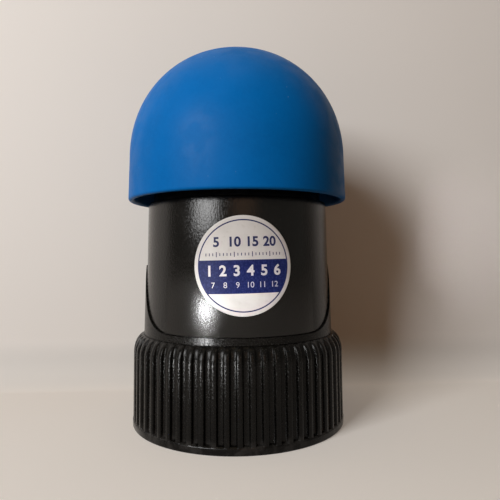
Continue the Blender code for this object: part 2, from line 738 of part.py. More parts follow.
def float_body(material):
    """The foamed float with round edges, a dimple below and a hole for the stem above."""
    top = FLOAT_HEIGHT
    hole = STEM_SHANK_RADIUS + FIT_GAP
    depth = STEM_SHANK_LENGTH + FIT_GAP
    fillets = []
    for turn in (math.pi / 2 * k / FILLET_ROWS for k in range(FILLET_ROWS + 1)):
        inset = FLOAT_FOOT_FILLET * (1 - math.sin(turn))
        fillets.append((FLOAT_RADIUS - inset, FLOAT_FOOT_FILLET * (1 - math.cos(turn))))
    for turn in (0, math.pi / 2):
        inset = FLOAT_TOP_FILLET * (1 - math.cos(turn))
        fillets.append((FLOAT_RADIUS - inset, top - FLOAT_TOP_FILLET * (1 - math.sin(turn))))
    dimple = [(0, FLOAT_DIMPLE_DEPTH), (FLOAT_DIMPLE_RADIUS - FLOAT_DIMPLE_DEPTH, FLOAT_DIMPLE_DEPTH)]
    socket = [(hole, top), (hole, top - depth), (0, top - depth)]
    return turned("float", [*dimple, (FLOAT_DIMPLE_RADIUS, 0), *fillets, *socket], material, MEDIUM_STEPS)


def strip_screw_places():
    return [-CLAMP_SCREW_SPACING / 2, CLAMP_SCREW_SPACING / 2]


def across_bar(name, radius, near, far, side, height):
    """A cylinder along X."""
    mesh = bmesh.new()
    turn = Matrix.Rotation(math.pi / 2, 4, "Y")
    place = Matrix.Translation(((near + far) / 2, side, height))
    bmesh.ops.create_cone(
        mesh,
        cap_ends=True,
        segments=SMALL_STEPS,
        radius1=radius,
        radius2=radius,
        depth=far - near,
        matrix=place @ turn,
    )
    return object_from(name, mesh)


def stem_screw_height():
    return STEM_DISC_TOP + STEM_CLAMP_LIFT + STEM_CLAMP_HEIGHT / 2


def stem_holes():
    """Holes along X for the two screws that clamp the strip to the stem."""
    radius = CLAMP_SCREW.shank_radius + SCREW_HOLE_GAP
    outside = STEM_POST_FRONT + STRIP_THICKNESS + CLAMP_THICKNESS + 2 * FIT_GAP
    tip = outside + FIT_GAP - CLAMP_SCREW.shank_length - SCREW_HOLE_GAP
    height = stem_screw_height() - FLOAT_BOTTOM
    return [across_bar("hole", radius, tip, outside + OVERCUT, side, height) for side in strip_screw_places()]


def clamping_stem(material):
    """A disc with a shank in the float and a post that the strip is clamped to."""
    low, high = STEM_DISC_BOTTOM - FLOAT_BOTTOM, STEM_DISC_TOP - FLOAT_BOTTOM
    tip = FLOAT_TOP - FLOAT_BOTTOM - STEM_SHANK_LENGTH
    outline = [(0, tip), (STEM_SHANK_RADIUS, tip), (STEM_SHANK_RADIUS, low), (STEM_DISC_RADIUS, low)]
    outline += [(STEM_DISC_RADIUS, high), (0, high)]
    stem = turned("clamping_stem", outline, material, MEDIUM_STEPS)
    back = STEM_POST_FRONT - STEM_POST_THICKNESS
    middle = (low + high) / 2
    top = POST_TOP - FLOAT_BOTTOM
    half = CLAMP_WIDTH / 2
    join(stem, [block("post", (back, -half, middle), (STEM_POST_FRONT, half, top))])
    cut(stem, stem_holes())
    return stem


def stem_clamp(material):
    """The small plate that presses the strip to the stem's post."""
    near = STEM_POST_FRONT + STRIP_THICKNESS + 2 * FIT_GAP
    low = STEM_DISC_TOP + STEM_CLAMP_LIFT - FLOAT_BOTTOM
    half = CLAMP_WIDTH / 2
    far = near + CLAMP_THICKNESS
    clamp = block("stem_clamp", (near, -half, low), (far, half, low + STEM_CLAMP_HEIGHT), 0, material)
    cut(clamp, stem_holes())
    return clamp


# Plug


def plug_screw_places():
    return [
        (RETAINER_SCREW_CIRCLE * math.cos(turn), RETAINER_SCREW_CIRCLE * math.sin(turn))
        for turn in spread(GUIDE_FIN_COUNT, math.pi / 2)
    ]


def bar_screw_places():
    middle = -BAR_CLAMP_START - BAR_CLAMP_LENGTH / 2
    return [(middle, side) for side in strip_screw_places()]


def bar_holes(low, high):
    radius = CLAMP_SCREW.shank_radius + SCREW_HOLE_GAP
    return [round_bar("hole", radius, low, high, place) for place in bar_screw_places()]


def bar_clamp_heights():
    """Lower and upper face of the bar under the strip, from the plug's underside."""
    high = -STRIP_THICKNESS - 2 * FIT_GAP
    return high - CLAMP_THICKNESS, high


def plug_disc(material):
    """The disc that carries the seals, with a nozzle slot and arms that rest on the barrel's ribs."""
    disc = turned(
        "plug_disc",
        [(0, 0), (PLUG_RADIUS, 0), (PLUG_RADIUS, PLUG_THICKNESS), (0, PLUG_THICKNESS)],
        material,
        MEDIUM_STEPS,
    )
    inner = SEAL_INNER_RADIUS
    half = PLUG_ARM_WIDTH / 2
    arms = [
        block("arm", (inner, -half, 0), (PLUG_ARM_RADIUS, half, PLUG_ARM_THICKNESS), turn)
        for turn in spread(PLUG_ARM_COUNT, math.pi / 2)
    ]
    join(disc, arms)
    half_length, half_width = NOZZLE_LENGTH / 2, NOZZLE_WIDTH / 2
    slot = block(
        "slot",
        (-half_length, -half_width, -OVERCUT),
        (half_length, half_width, PLUG_THICKNESS + OVERCUT),
    )
    tip = RETAINER_TOP + FIT_GAP - PLUG_BOTTOM - RETAINER_SCREW.shank_length - SCREW_HOLE_GAP
    radius = RETAINER_SCREW.shank_radius + SCREW_HOLE_GAP
    high = PLUG_THICKNESS + OVERCUT
    sockets = [round_bar("socket", radius, tip, high, place) for place in plug_screw_places()]
    bar_tip = bar_clamp_heights()[0] - FIT_GAP + CLAMP_SCREW.shank_length + SCREW_HOLE_GAP
    cut(disc, [slot, *sockets, *bar_holes(-OVERCUT, bar_tip)])
    return disc


def plug_seal(material):
    """The rubber ring that closes the large orifice."""
    low, high = SEAL_BOTTOM - PLUG_BOTTOM, SEAL_TOP - PLUG_BOTTOM
    outline = [(SEAL_INNER_RADIUS, low), (SEAL_OUTER_RADIUS, low)]
    outline += [(SEAL_OUTER_RADIUS, high), (SEAL_INNER_RADIUS, high)]
    return turned("plug_seal", outline, material, MEDIUM_STEPS)


def seal_retainer(material):
    """Holds the seal down and guides the plug in the orifice with three fins."""
    low = PLUG_TOP + FIT_GAP - PLUG_BOTTOM
    flange = RETAINER_FLANGE_BOTTOM - PLUG_BOTTOM
    top = RETAINER_TOP - PLUG_BOTTOM
    spigot = SEAL_INNER_RADIUS - FIT_GAP
    outline = [
        (RETAINER_VENT_RADIUS, low),
        (spigot, low),
        (spigot, flange),
        (GUIDE_FIN_RADIUS, flange),
        (GUIDE_FIN_RADIUS, top),
        (RETAINER_VENT_RADIUS, top),
    ]
    retainer = turned("seal_retainer", outline, material, MEDIUM_STEPS)
    fin_top = GUIDE_FIN_TOP - PLUG_BOTTOM
    middle = (flange + top) / 2
    lead_in = GUIDE_FIN_RADIUS - ORIFICE_CHAMFER
    fin_outline = [
        (GUIDE_FIN_ROOT, middle),
        (lead_in, middle),
        (lead_in, fin_top),
        (GUIDE_FIN_ROOT, fin_top),
    ]
    starts = spread(GUIDE_FIN_COUNT, math.pi / 2 + math.pi / GUIDE_FIN_COUNT)
    join(retainer, [plate("fin", fin_outline, GUIDE_FIN_THICKNESS, turn) for turn in starts])
    radius = RETAINER_SCREW.shank_radius + SCREW_HOLE_GAP
    through = (low - OVERCUT, top + OVERCUT)
    holes = [round_bar("hole", radius, *through, place) for place in plug_screw_places()]
    cut(retainer, holes)
    return retainer


def strip_path():
    """Middle line of the strip as (x, z): flat under the plug, down a slope and round onto the post."""
    flat = -STRIP_THICKNESS / 2 - FIT_GAP
    start = (-BAR_CLAMP_START - BAR_CLAMP_LENGTH, flat)
    leave = (-BAR_CLAMP_START + OVERCUT, flat)
    post_face = STEM_POST_FRONT + FIT_GAP + STRIP_THICKNESS / 2
    centre = Vector((post_face - STRIP_BEND_RADIUS, POST_TOP - PLUG_BOTTOM))
    bend = []
    for k in range(STRIP_BEND_STEPS + 1):
        turn = STRIP_BEND_ANGLE * (1 - k / STRIP_BEND_STEPS)
        bend.append(centre + STRIP_BEND_RADIUS * Vector((math.cos(turn), math.sin(turn))))
    slope = []
    for k in range(1, STRIP_SLOPE_STEPS):
        share = k / STRIP_SLOPE_STEPS
        eased = share**STRIP_SLOPE_POWER * (1 - share) + share * share
        slope.append((leave[0] + (bend[0][0] - leave[0]) * share, flat + (bend[0][1] - flat) * eased))
    foot = (post_face, STEM_DISC_TOP + FIT_GAP - PLUG_BOTTOM)
    return [start, leave, *slope, *bend, foot]


def rolling_seal(material):
    """The strip, drawn as it lies when the float has dropped and peeled it off the nozzle."""
    path = strip_path()
    upper, lower = [], []
    for k, (x, z) in enumerate(path):
        before = Vector(path[max(k - 1, 0)])
        after = Vector(path[min(k + 1, len(path) - 1)])
        along = (after - before).normalized()
        offset = Vector((-along.y, along.x)) * STRIP_THICKNESS / 2
        upper.append((x + offset.x, z + offset.y))
        lower.append((x - offset.x, z - offset.y))
    seal = plate("rolling_seal", [*upper, *reversed(lower)], STRIP_WIDTH)
    seal.data.materials.append(material)
    holes = bar_holes(-STRIP_THICKNESS - 2 * FIT_GAP, OVERCUT)
    for hole in stem_holes():
        hole.data.transform(Matrix.Translation((0, 0, FLOAT_BOTTOM - PLUG_BOTTOM)))
        holes.append(hole)
    cut(seal, holes)
    return seal


def bar_clamp(material):
    low, high = bar_clamp_heights()
    near, far = -BAR_CLAMP_START - BAR_CLAMP_LENGTH, -BAR_CLAMP_START
    half = CLAMP_WIDTH / 2
    clamp = block("bar_clamp", (near, -half, low), (far, half, high), 0, material)
    cut(clamp, bar_holes(low - OVERCUT, high + OVERCUT))
    return clamp


# Screws


def screw_mesh(size, material):
    """A pan head screw with its head above the origin and its shank below."""
    outline = [
        (0, -size.shank_length),
        (size.shank_radius, -size.shank_length),
        (size.shank_radius, 0),
        (size.head_radius, 0),
        (size.head_radius, size.head_height * SCREW_HEAD_SIDE),
        (size.head_radius * SCREW_HEAD_TOP, size.head_height),
        (0, size.head_height),
    ]
    pattern = turned("screw", outline, material, SMALL_STEPS)
    data = pattern.data
    bpy.data.objects.remove(pattern)
    return data


def set_screws(name, size, places, turn, material):
    """One object for each screw, all with the same mesh."""
    data = screw_mesh(size, material)
    screws = []
    for number, place in enumerate(places, 1):
        screw = bpy.data.objects.new(f"{name}_{number}", data)
        bpy.context.scene.collection.objects.link(screw)
        screw.location = place
        screw.rotation_euler = turn
        screws.append(screw)
    return screws


def retainer_screws(material):
    height = RETAINER_TOP + FIT_GAP - PLUG_BOTTOM
    places = [(x, y, height) for x, y in plug_screw_places()]
    return set_screws("retainer_screw", RETAINER_SCREW, places, (0, 0, 0), material)


def bar_screws(material):
    height = bar_clamp_heights()[0] - FIT_GAP
    places = [(x, y, height) for x, y in bar_screw_places()]
    return set_screws("bar_clamp_screw", CLAMP_SCREW, places, (math.pi, 0, 0), material)


def stem_screws(material):
    reach = STEM_POST_FRONT + STRIP_THICKNESS + CLAMP_THICKNESS + 3 * FIT_GAP
    height = stem_screw_height() - FLOAT_BOTTOM
    places = [(reach, side, height) for side in strip_screw_places()]
    return set_screws("stem_clamp_screw", CLAMP_SCREW, places, (0, math.pi / 2, 0), material)


# Assembly


def carrier(name, height, parent=None):
    """An empty on the valve's axis, which a moving group hangs on."""
    empty = bpy.data.objects.new(name, None)
    empty.location = (0, 0, height)
    empty.parent = parent
    bpy.context.scene.collection.objects.link(empty)
    return empty


def build():
    clear_scene()
    black = plastic("black_nylon", (0.012, 0.012, 0.013), 0.55)
    barrel_black = plastic("glossy_black_nylon", (0.016, 0.015, 0.014), 0.32)
    blue = plastic("blue_polypropylene", (0.0, 0.16, 0.52), 0.42)
    foam = plastic("white_foamed_polypropylene", (0.72, 0.72, 0.68), 0.6)
    grey = plastic("grey_nylon", (0.18, 0.18, 0.19), 0.45)
    rubber = plastic("black_rubber", (0.02, 0.02, 0.02), 0.75)
    paper = plastic("white_label", (0.75, 0.74, 0.72), 0.4)
    bright = steel("stainless_steel")

    fixed = [ribbed_base(black), float_rest(black), barrel(barrel_black)]
    fixed += [o_ring(rubber), front_label(paper), dome_cap(blue)]

    plug_slide = carrier("plug_slide", PLUG_BOTTOM)
    plug = [plug_disc(grey), plug_seal(rubber), seal_retainer(grey), rolling_seal(rubber), bar_clamp(grey)]
    plug += retainer_screws(bright) + bar_screws(bright)
    float_slide = carrier("float_slide", FLOAT_BOTTOM - PLUG_BOTTOM, plug_slide)
    floating = [float_body(foam), clamping_stem(grey), stem_clamp(grey), *stem_screws(bright)]

    for piece in plug:
        piece.parent = plug_slide
    for piece in floating:
        piece.parent = float_slide
    for piece in fixed + plug + floating:
        smooth(piece)


build()
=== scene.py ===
"""Looks of the air release valve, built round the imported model.

Lengths are in metres in the row frame: the valve stands on Z = 0 and its label faces -Y.
"""

import math

import bmesh
import bpy
from mathutils import Matrix, Vector


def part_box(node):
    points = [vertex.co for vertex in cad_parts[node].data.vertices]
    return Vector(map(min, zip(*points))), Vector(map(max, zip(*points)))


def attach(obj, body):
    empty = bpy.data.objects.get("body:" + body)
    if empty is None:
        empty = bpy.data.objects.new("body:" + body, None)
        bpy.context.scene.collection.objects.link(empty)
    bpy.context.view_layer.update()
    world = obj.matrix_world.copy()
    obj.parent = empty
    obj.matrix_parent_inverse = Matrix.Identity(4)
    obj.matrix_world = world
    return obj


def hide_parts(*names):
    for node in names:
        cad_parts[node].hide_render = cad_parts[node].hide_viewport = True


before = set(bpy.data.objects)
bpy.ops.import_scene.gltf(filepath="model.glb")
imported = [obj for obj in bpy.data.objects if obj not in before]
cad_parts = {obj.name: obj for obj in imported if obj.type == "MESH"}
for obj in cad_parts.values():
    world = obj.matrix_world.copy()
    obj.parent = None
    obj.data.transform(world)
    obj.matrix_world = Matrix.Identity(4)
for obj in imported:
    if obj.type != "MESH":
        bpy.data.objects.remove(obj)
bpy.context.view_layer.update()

MM = 0.001
DEGREE = math.pi / 180

# Camera, fitted to the photograph, whose side is 500 pixels
PHOTO_SIDE = 500
FOCAL_PIXELS = 496.3
SENSOR_WIDTH = 36.0
CAMERA_DISTANCE = 214.0 * MM
CAMERA_SIDE = 5.29 * MM
CAMERA_HEIGHT = 67.89 * MM
CAMERA_PITCH = 0.842 * DEGREE
CAMERA_ROLL = -0.374 * DEGREE
CAMERA_AZIMUTH = 3.5 * DEGREE
CAMERA_NEAR = 10.0 * MM

# Sizes read from the frame
base_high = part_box("ribbed_base")[1]
barrel_low, barrel_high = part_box("barrel")
dome_low, dome_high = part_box("dome_cap")
label_low, label_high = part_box("front_label")
FOOT_RADIUS = base_high.x
EAR_TOP = base_high.z
NOSE_BOTTOM = barrel_low.z
PLATE_TOP = barrel_high.z
DOME_RIM_RADIUS = dome_high.x
DOME_RIM_BOTTOM = dome_low.z
DOME_TOP = dome_high.z
LABEL_CENTRE = (label_low.z + label_high.z) / 2
LABEL_RADIUS = (label_high.z - label_low.z) / 2

# Clearances
FIT_GAP = 0.3 * MM
SEAM_GAP = 0.1 * MM
OVERCUT = 1.0 * MM

# Facets
ROUND_STEPS = 256
WINDOW_STEPS = 96
EAR_STEPS = 32
CORNER_ROWS = 12
SMOOTH_ANGLE = 35 * DEGREE
GRIP_SMOOTH_ANGLE = 60 * DEGREE
LABEL_SMOOTH_ANGLE = 80 * DEGREE
ON_AXIS = 1e-9
MERGE_DISTANCE = 1e-7

# Edges of the pieces kept from the CAD
KEPT_WELD = 0.002 * MM
KEPT_EDGE = 0.15 * MM
KEPT_EDGE_ANGLE = 50 * DEGREE

# Ribbed base, as the solid has it
RIB_COUNT = 60
RIB_TURN = -1.5 * DEGREE
RIB_DEPTH = 1.3 * MM
RIB_SETBACK = 0.3 * MM
RIB_TAPER = 0.3 * MM
RIB_TOP = 29.7 * MM
RIB_ROUND_START = 0.18
RIB_ROUND_END = 0.31
RIB_FLANK_STEPS = 6
RIB_FADE = 78 * DEGREE
LIP_RADIUS = FOOT_RADIUS - 0.08 * MM
LIP_ROUND_START = 2.2 * MM
LIP_ROUND_HEIGHT = 1.1 * MM
LIP_ROUND_DEPTH = 2.0 * MM
LIP_EDGE = 0.45 * MM
LIP_ROWS = 12
LIP_BLEND = 0.08 * MM
SHOULDER_WIDTH = 4.4 * MM
SHOULDER_HEIGHT = 7.05 * MM
SHOULDER_END = 86 * DEGREE
SHOULDER_ROWS = 14
RING_BACK_RADIUS = 40.8 * MM
RING_BACK_TOP = 38.3 * MM
RING_BACK_LEVEL = 31.0 * MM
COLLAR_STEP = 0.25 * MM
COLLAR_WALL = 3.0 * MM
COLLAR_ROOT = 0.9 * MM
SILL_HEIGHT = 2.55 * MM
EAR_LEAN = 0.87 * MM
WINDOW_SILL_REACH = 29.0 * MM
WINDOW_CORNER = 25.75 * MM
WINDOW_SIDE_SLOPE = 56 * DEGREE
WINDOW_EDGE = 0.1 * MM
EAR_ROWS = 12
SOCKET_RADIUS = 29.8 * MM
SOCKET_DEPTH = 23.5 * MM
SOCKET_CHAMFER = 1.2 * MM
SOCKET_OUTER_RADIUS = 34.0 * MM
SKIRT_INNER_RADIUS = 40.0 * MM
SKIRT_OUTER_RADIUS = 41.5 * MM
CORE_RECESS = 0.3 * MM
MOAT_TOP = 22.0 * MM
DECK_TOP = 27.7 * MM
DECK_HOLE_RADIUS = 25.5 * MM
WEB_COUNT = 12
WEB_THICKNESS = 1.8 * MM
WEB_RECESS = 0.8 * MM
WEB_ROOT = 0.6 * MM
WEB_START = 7.5 * DEGREE

# Socket thread: eleven turns to the inch
THREAD_PITCH = 25.4 / 11 * MM
THREAD_DEPTH = 1.45 * MM
THREAD_CREST = 0.35
THREAD_START = 1.6 * MM
THREAD_END = 21.0 * MM
THREAD_STEPS = 96
THREAD_ROOT = 0.1 * MM
THREAD_ROOT_SHARE = 0.98
THREAD_RUNOUT = 0.2

# Barrel
BARREL_TOP = 90.3 * MM
BARREL_TOP_RADIUS = 37.5 * MM
BARREL_DRAFT = 1.28 * DEGREE
BARREL_EDGE = 0.6 * MM
EDGE_ROWS = 4
SPIGOT_RADIUS = 36.2 * MM
SPIGOT_BOTTOM = 30.5 * MM
SPIGOT_BORE_RADIUS = 32.0 * MM
CHAMBER_RADIUS = 33.4 * MM
NOSE_RADIUS = 33.7 * MM
CONE_START = 38.0 * MM
CONE_END = 42.0 * MM
NECK_RADIUS = 35.2 * MM
NECK_BORE_RADIUS = 32.0 * MM
NECK_CONE_HEIGHT = 2.5 * MM
SEAT_BOTTOM = 112.1 * MM
PLATE_BOTTOM = 113.3 * MM
FLANGE_RADIUS = 37.0 * MM
ORIFICE_RADIUS = 17.0 * MM
ORIFICE_EDGE = 0.6 * MM
SEAT_WIDTH = 2.0 * MM
GUIDE_RIB_COUNT = 6
GUIDE_RIB_THICKNESS = 2.5 * MM
GUIDE_RIB_RADIUS = 27.0 * MM
GUIDE_RIB_START = 35.8 * MM
GUIDE_RIB_LEAD_IN = 7.0 * MM
GUIDE_RIB_TOP = 85.7 * MM
RIB_ROOT = 0.5 * MM

# Dome cap
DOME_SKIRT_TAPER = 0.55 * MM
DOME_SPRING = 108.6 * MM
DOME_POWER = 2.07
DOME_WALL = 2.3 * MM
DOME_EDGE = 1.1 * MM
DOME_ROWS = 40
CLIP_COUNT = 6
CLIP_THICKNESS = 2.0 * MM
CLIP_REACH = 1.4 * MM
CLIP_HOOK_HEIGHT = 2.5 * MM
CLIP_TAIL = 10.0 * MM
CLIP_SHELF = 6.0 * MM
CLIP_SHELF_HEIGHT = 3.5 * MM
CLIP_GUSSET = 8.0 * MM

# Label
LABEL_GAP = 0.1 * MM
LABEL_THICKNESS = 0.25 * MM
LABEL_RINGS = 24
LABEL_SPOKES = 96
LABEL_TURN = 1.0 * DEGREE
LABEL_TILT = 1.0 * DEGREE
LABEL_LINE_INSET = 1.65 * MM
LABEL_LINE_WIDTH = 0.46 * MM
LABEL_BAND_TOP = 2.1 * MM
LABEL_BAND_BOTTOM = -9.9 * MM
PRINT_HEIGHT = 0.03 * MM
PRINT_BLUR = 0.03 * MM
FILM_WHITE = (0.69, 0.67, 0.65)
INK_BLUE = (0.004, 0.010, 0.080)
FIGURE_WEIGHT = 0.03
SCALE_SIZE = 4.8 * MM
SCALE_STEP = 6.4 * MM
SCALE_RISE = 8.4 * MM
TICKS = range(-11, 11)
TICKS_PER_NUMBER = 5
FIRST_LARGE_TICK = 3
SCALE_NUMBERS = 4
TICK_RISE = 4.1 * MM
TICK_WIDTH = 0.3 * MM
LARGE_TICK = 1.8 * MM
SMALL_TICK = 1.0 * MM
BAND_COLUMNS = 6
BAND_SIZE = 5.2 * MM
BAND_STEP = 4.9 * MM
BAND_RISE = -1.9 * MM
BAND_LOW_SIZE = 2.9 * MM
BAND_LOW_STEP = 4.4 * MM
BAND_LOW_RISE = -6.9 * MM

# Heights and radii that follow
RIB_LOW_RADIUS = FOOT_RADIUS - RIB_SETBACK
RIB_HIGH_RADIUS = RIB_LOW_RADIUS - RIB_TAPER
SHOULDER_TOP = RIB_TOP + SHOULDER_HEIGHT
SHOULDER_RADIUS = RIB_HIGH_RADIUS - SHOULDER_WIDTH
COLLAR_RADIUS = SHOULDER_RADIUS + COLLAR_STEP
POCKET_RADIUS = COLLAR_RADIUS - COLLAR_WALL
SILL_TOP = SHOULDER_TOP + SILL_HEIGHT
PANEL_BOTTOM = SILL_TOP + SEAM_GAP
DOME_SPRING_RADIUS = DOME_RIM_RADIUS - DOME_SKIRT_TAPER
DOME_CROWN_HEIGHT = DOME_TOP - DOME_SPRING


# Meshes


def object_from(name, mesh):
    bmesh.ops.recalc_face_normals(mesh, faces=mesh.faces)
    data = bpy.data.meshes.new(name)
    mesh.to_mesh(data)
    mesh.free()
    made = bpy.data.objects.new(name, data)
    bpy.context.scene.collection.objects.link(made)
    return made


def smooth(piece, angle=SMOOTH_ANGLE):
    piece.data.shade_smooth()
    piece.data.set_sharp_from_angle(angle=angle)
    return piece


def combine(piece, operation, tools):
    """Runs a Boolean with each tool in turn, keeps the result and removes the tools."""
    for tool in tools:
        modifier = piece.modifiers.new(operation.lower(), "BOOLEAN")
        modifier.operation = operation
        modifier.solver = "EXACT"
        modifier.object = tool
    bpy.context.view_layer.update()
    evaluated = piece.evaluated_get(bpy.context.evaluated_depsgraph_get())
    result = bpy.data.meshes.new_from_object(evaluated)
    piece.modifiers.clear()
    piece.data = result
    for tool in tools:
        bpy.data.objects.remove(tool, do_unlink=True)


def spread(count, start=0.0):
    return [start + 2 * math.pi * i / count for i in range(count)]


def bridge(mesh, loops):
    """Joins rings of points, each to the next and the last to the first."""
    for one, other in zip(loops, loops[1:] + loops[:1]):
        for i in range(len(one)):
            j = (i + 1) % len(one)
            mesh.faces.new((one[i], one[j], other[j], other[i]))


def turned(name, profile, steps=ROUND_STEPS):
    """Spins a closed outline of (radius, height) points about the Z axis."""
    mesh = bmesh.new()
    corners = [mesh.verts.new((radius, 0, height)) for radius, height in profile]
    edges = [mesh.edges.new((a, b)) for a, b in zip(corners, corners[1:] + corners[:1])]
    on_axis = [edge for edge in edges if all(abs(v.co.x) < ON_AXIS for v in edge.verts)]
    edges = [edge for edge in edges if edge not in on_axis]
    bmesh.ops.delete(mesh, geom=on_axis, context="EDGES_FACES")
    turn = {"cent": (0, 0, 0), "axis": (0, 0, 1), "angle": 2 * math.pi}
    bmesh.ops.spin(mesh, geom=corners + edges, steps=steps, use_merge=True, **turn)
    bmesh.ops.remove_doubles(mesh, verts=mesh.verts, dist=MERGE_DISTANCE)
    return object_from(name, mesh)


def plate(name, outline, thickness, turn=0.0):
    """A flat plate along a radius: an outline of (radius, height) points with a thickness."""
    mesh = bmesh.new()
    face = mesh.faces.new([mesh.verts.new((x, -thickness / 2, z)) for x, z in outline])
    pushed = bmesh.ops.extrude_face_region(mesh, geom=[face])["geom"]
    moved = [item for item in pushed if isinstance(item, bmesh.types.BMVert)]
    bmesh.ops.translate(mesh, vec=(0, thickness, 0), verts=moved)
    bmesh.ops.rotate(mesh, cent=(0, 0, 0), matrix=Matrix.Rotation(turn, 3, "Z"), verts=mesh.verts)
    return object_from(name, mesh)


def sector(name, levels, outer, middle, steps):
    """A block bent round the Z axis, from (height, half angle, inner radius) levels, low to high."""
    mesh = bmesh.new()
    near, far = [], []
    for height, half, inner in levels:
        for radius, rows in ((inner, near), (outer, far)):
            angles = [middle + half * (2 * i / steps - 1) for i in range(steps + 1)]
            points = [(radius * math.cos(a), radius * math.sin(a), height) for a in angles]
            rows.append([mesh.verts.new(point) for point in points])
    for side in (near, far):
        for lower, upper in zip(side, side[1:]):
            for i in range(steps):
                mesh.faces.new((lower[i], lower[i + 1], upper[i + 1], upper[i]))
    for i in (0, steps):
        for k in range(len(levels) - 1):
            mesh.faces.new((near[k][i], far[k][i], far[k + 1][i], near[k + 1][i]))
    for k in (0, len(levels) - 1):
        for i in range(steps):
            mesh.faces.new((near[k][i], near[k][i + 1], far[k][i + 1], far[k][i]))
    return object_from(name, mesh)


def arc(centre, radius, start, end, rows):
    """Points on an arc in the (radius, height) plane."""
    angles = [start + (end - start) * i / rows for i in range(rows + 1)]
    return [(centre[0] + radius * math.cos(a), centre[1] + radius * math.sin(a)) for a in angles]


# Ribbed base


def barrel_radius(height):
    return BARREL_TOP_RADIUS + (BARREL_TOP - height) * math.tan(BARREL_DRAFT)


def ear_radius(height):
    """The ears lean in a little towards the barrel."""
    return COLLAR_RADIUS - EAR_LEAN * (height - SHOULDER_TOP) / (EAR_TOP - SHOULDER_TOP)


def rib_sink(share):
    """How deep the skin lies at a share of the rib pitch: 0 on the crest, 1 in the groove."""
    away = min(share, 1 - share)
    turn = (away - RIB_ROUND_START) / (RIB_ROUND_END - RIB_ROUND_START)
    turn = min(max(turn, 0), 1)
    return turn * turn * (3 - 2 * turn)


def rib_shares():
    width = RIB_ROUND_END - RIB_ROUND_START
    flank = [RIB_ROUND_START + width * k / RIB_FLANK_STEPS for k in range(RIB_FLANK_STEPS + 1)]
    return [0, *flank, 0.5, *[1 - share for share in reversed(flank)]]


def lip_reach(height):
    """Radius of the foot lip, whose top is rounded off behind the ribs."""
    rise = min(max((height - LIP_ROUND_START) / LIP_ROUND_HEIGHT, 0), 1)
    return LIP_RADIUS - LIP_ROUND_DEPTH * (1 - math.sqrt(1 - rise * rise))


def grip_rows():
    """Height, crest radius, rib depth and slope of each row of the ribbed skin, from the lip up."""
    rows = []
    for k in range(LIP_ROWS + 1):
        height = LIP_ROUND_START + LIP_ROUND_HEIGHT * k / LIP_ROWS
        rows.append((height, RIB_LOW_RADIUS, RIB_DEPTH, 0))
    rows.append((RIB_TOP, RIB_HIGH_RADIUS, RIB_DEPTH, 0))
    for k in range(1, SHOULDER_ROWS + 1):
        slope = SHOULDER_END * k / SHOULDER_ROWS
        height = RIB_TOP + SHOULDER_HEIGHT * math.sin(slope)
        radius = SHOULDER_RADIUS + SHOULDER_WIDTH * math.cos(slope)
        depth = RIB_DEPTH * max(1 - (slope / RIB_FADE) ** 2, 0)
        rows.append((height, radius, depth, slope))
    return rows


def soft_largest(one, other):
    """The larger of two radii, with the corner between them rounded."""
    return (one + other + math.hypot(one - other, LIP_BLEND)) / 2


def base_grip():
    """The ribbed skin of the base with its foot lip, as one closed ring."""
    mesh = bmesh.new()
    places = []
    for k in range(RIB_COUNT):
        for share in rib_shares():
            angle = RIB_TURN + (k + share) * 2 * math.pi / RIB_COUNT
            places.append((math.sin(angle), -math.cos(angle), rib_sink(share)))

    def ring(points):
        return [mesh.verts.new((reach * x, reach * y, z)) for (x, y, _), (reach, z) in zip(places, points)]

    loops = [ring([(RING_BACK_RADIUS, 0)] * len(places))]
    foot = arc((LIP_RADIUS - LIP_EDGE, LIP_EDGE), LIP_EDGE, -math.pi / 2, 0, EDGE_ROWS)
    loops += [ring([point] * len(places)) for point in foot]
    for height, radius, depth, slope in grip_rows():
        points = []
        for _, _, sunk in places:
            reach = radius - sunk * depth * math.cos(slope)
            level = height - sunk * depth * math.sin(slope)
            if height <= LIP_ROUND_START + LIP_ROUND_HEIGHT:
                reach = soft_largest(reach, lip_reach(height))
            points.append((reach, level))
        loops.append(ring(points))
    loops.append(ring([(RING_BACK_TOP, SHOULDER_TOP - COLLAR_ROOT)] * len(places)))
    loops.append(ring([(RING_BACK_RADIUS, RING_BACK_LEVEL)] * len(places)))
    bridge(mesh, loops)
    return smooth(object_from("base_grip", mesh), GRIP_SMOOTH_ANGLE)


def window_levels(top, gap, inner_at):
    """Levels of the opening between the ears: a sill, wide round corners and slanted sides."""
    corner = WINDOW_CORNER - gap
    levels = []
    for k in range(CORNER_ROWS + 1):
        turn = WINDOW_SIDE_SLOPE * k / CORNER_ROWS
        height = SILL_TOP + WINDOW_CORNER - corner * math.cos(turn)
        half = (WINDOW_SILL_REACH + corner * math.sin(turn)) / COLLAR_RADIUS
        levels.append((height, half, inner_at(height)))
    start, half, _ = levels[-1]
    widening = 1 / math.tan(WINDOW_SIDE_SLOPE) / COLLAR_RADIUS
    for k in range(1, EAR_ROWS + 1):
        rise = (top - start) * k / EAR_ROWS
        levels.append((start + rise, half + rise * widening, inner_at(start + rise)))
    return levels


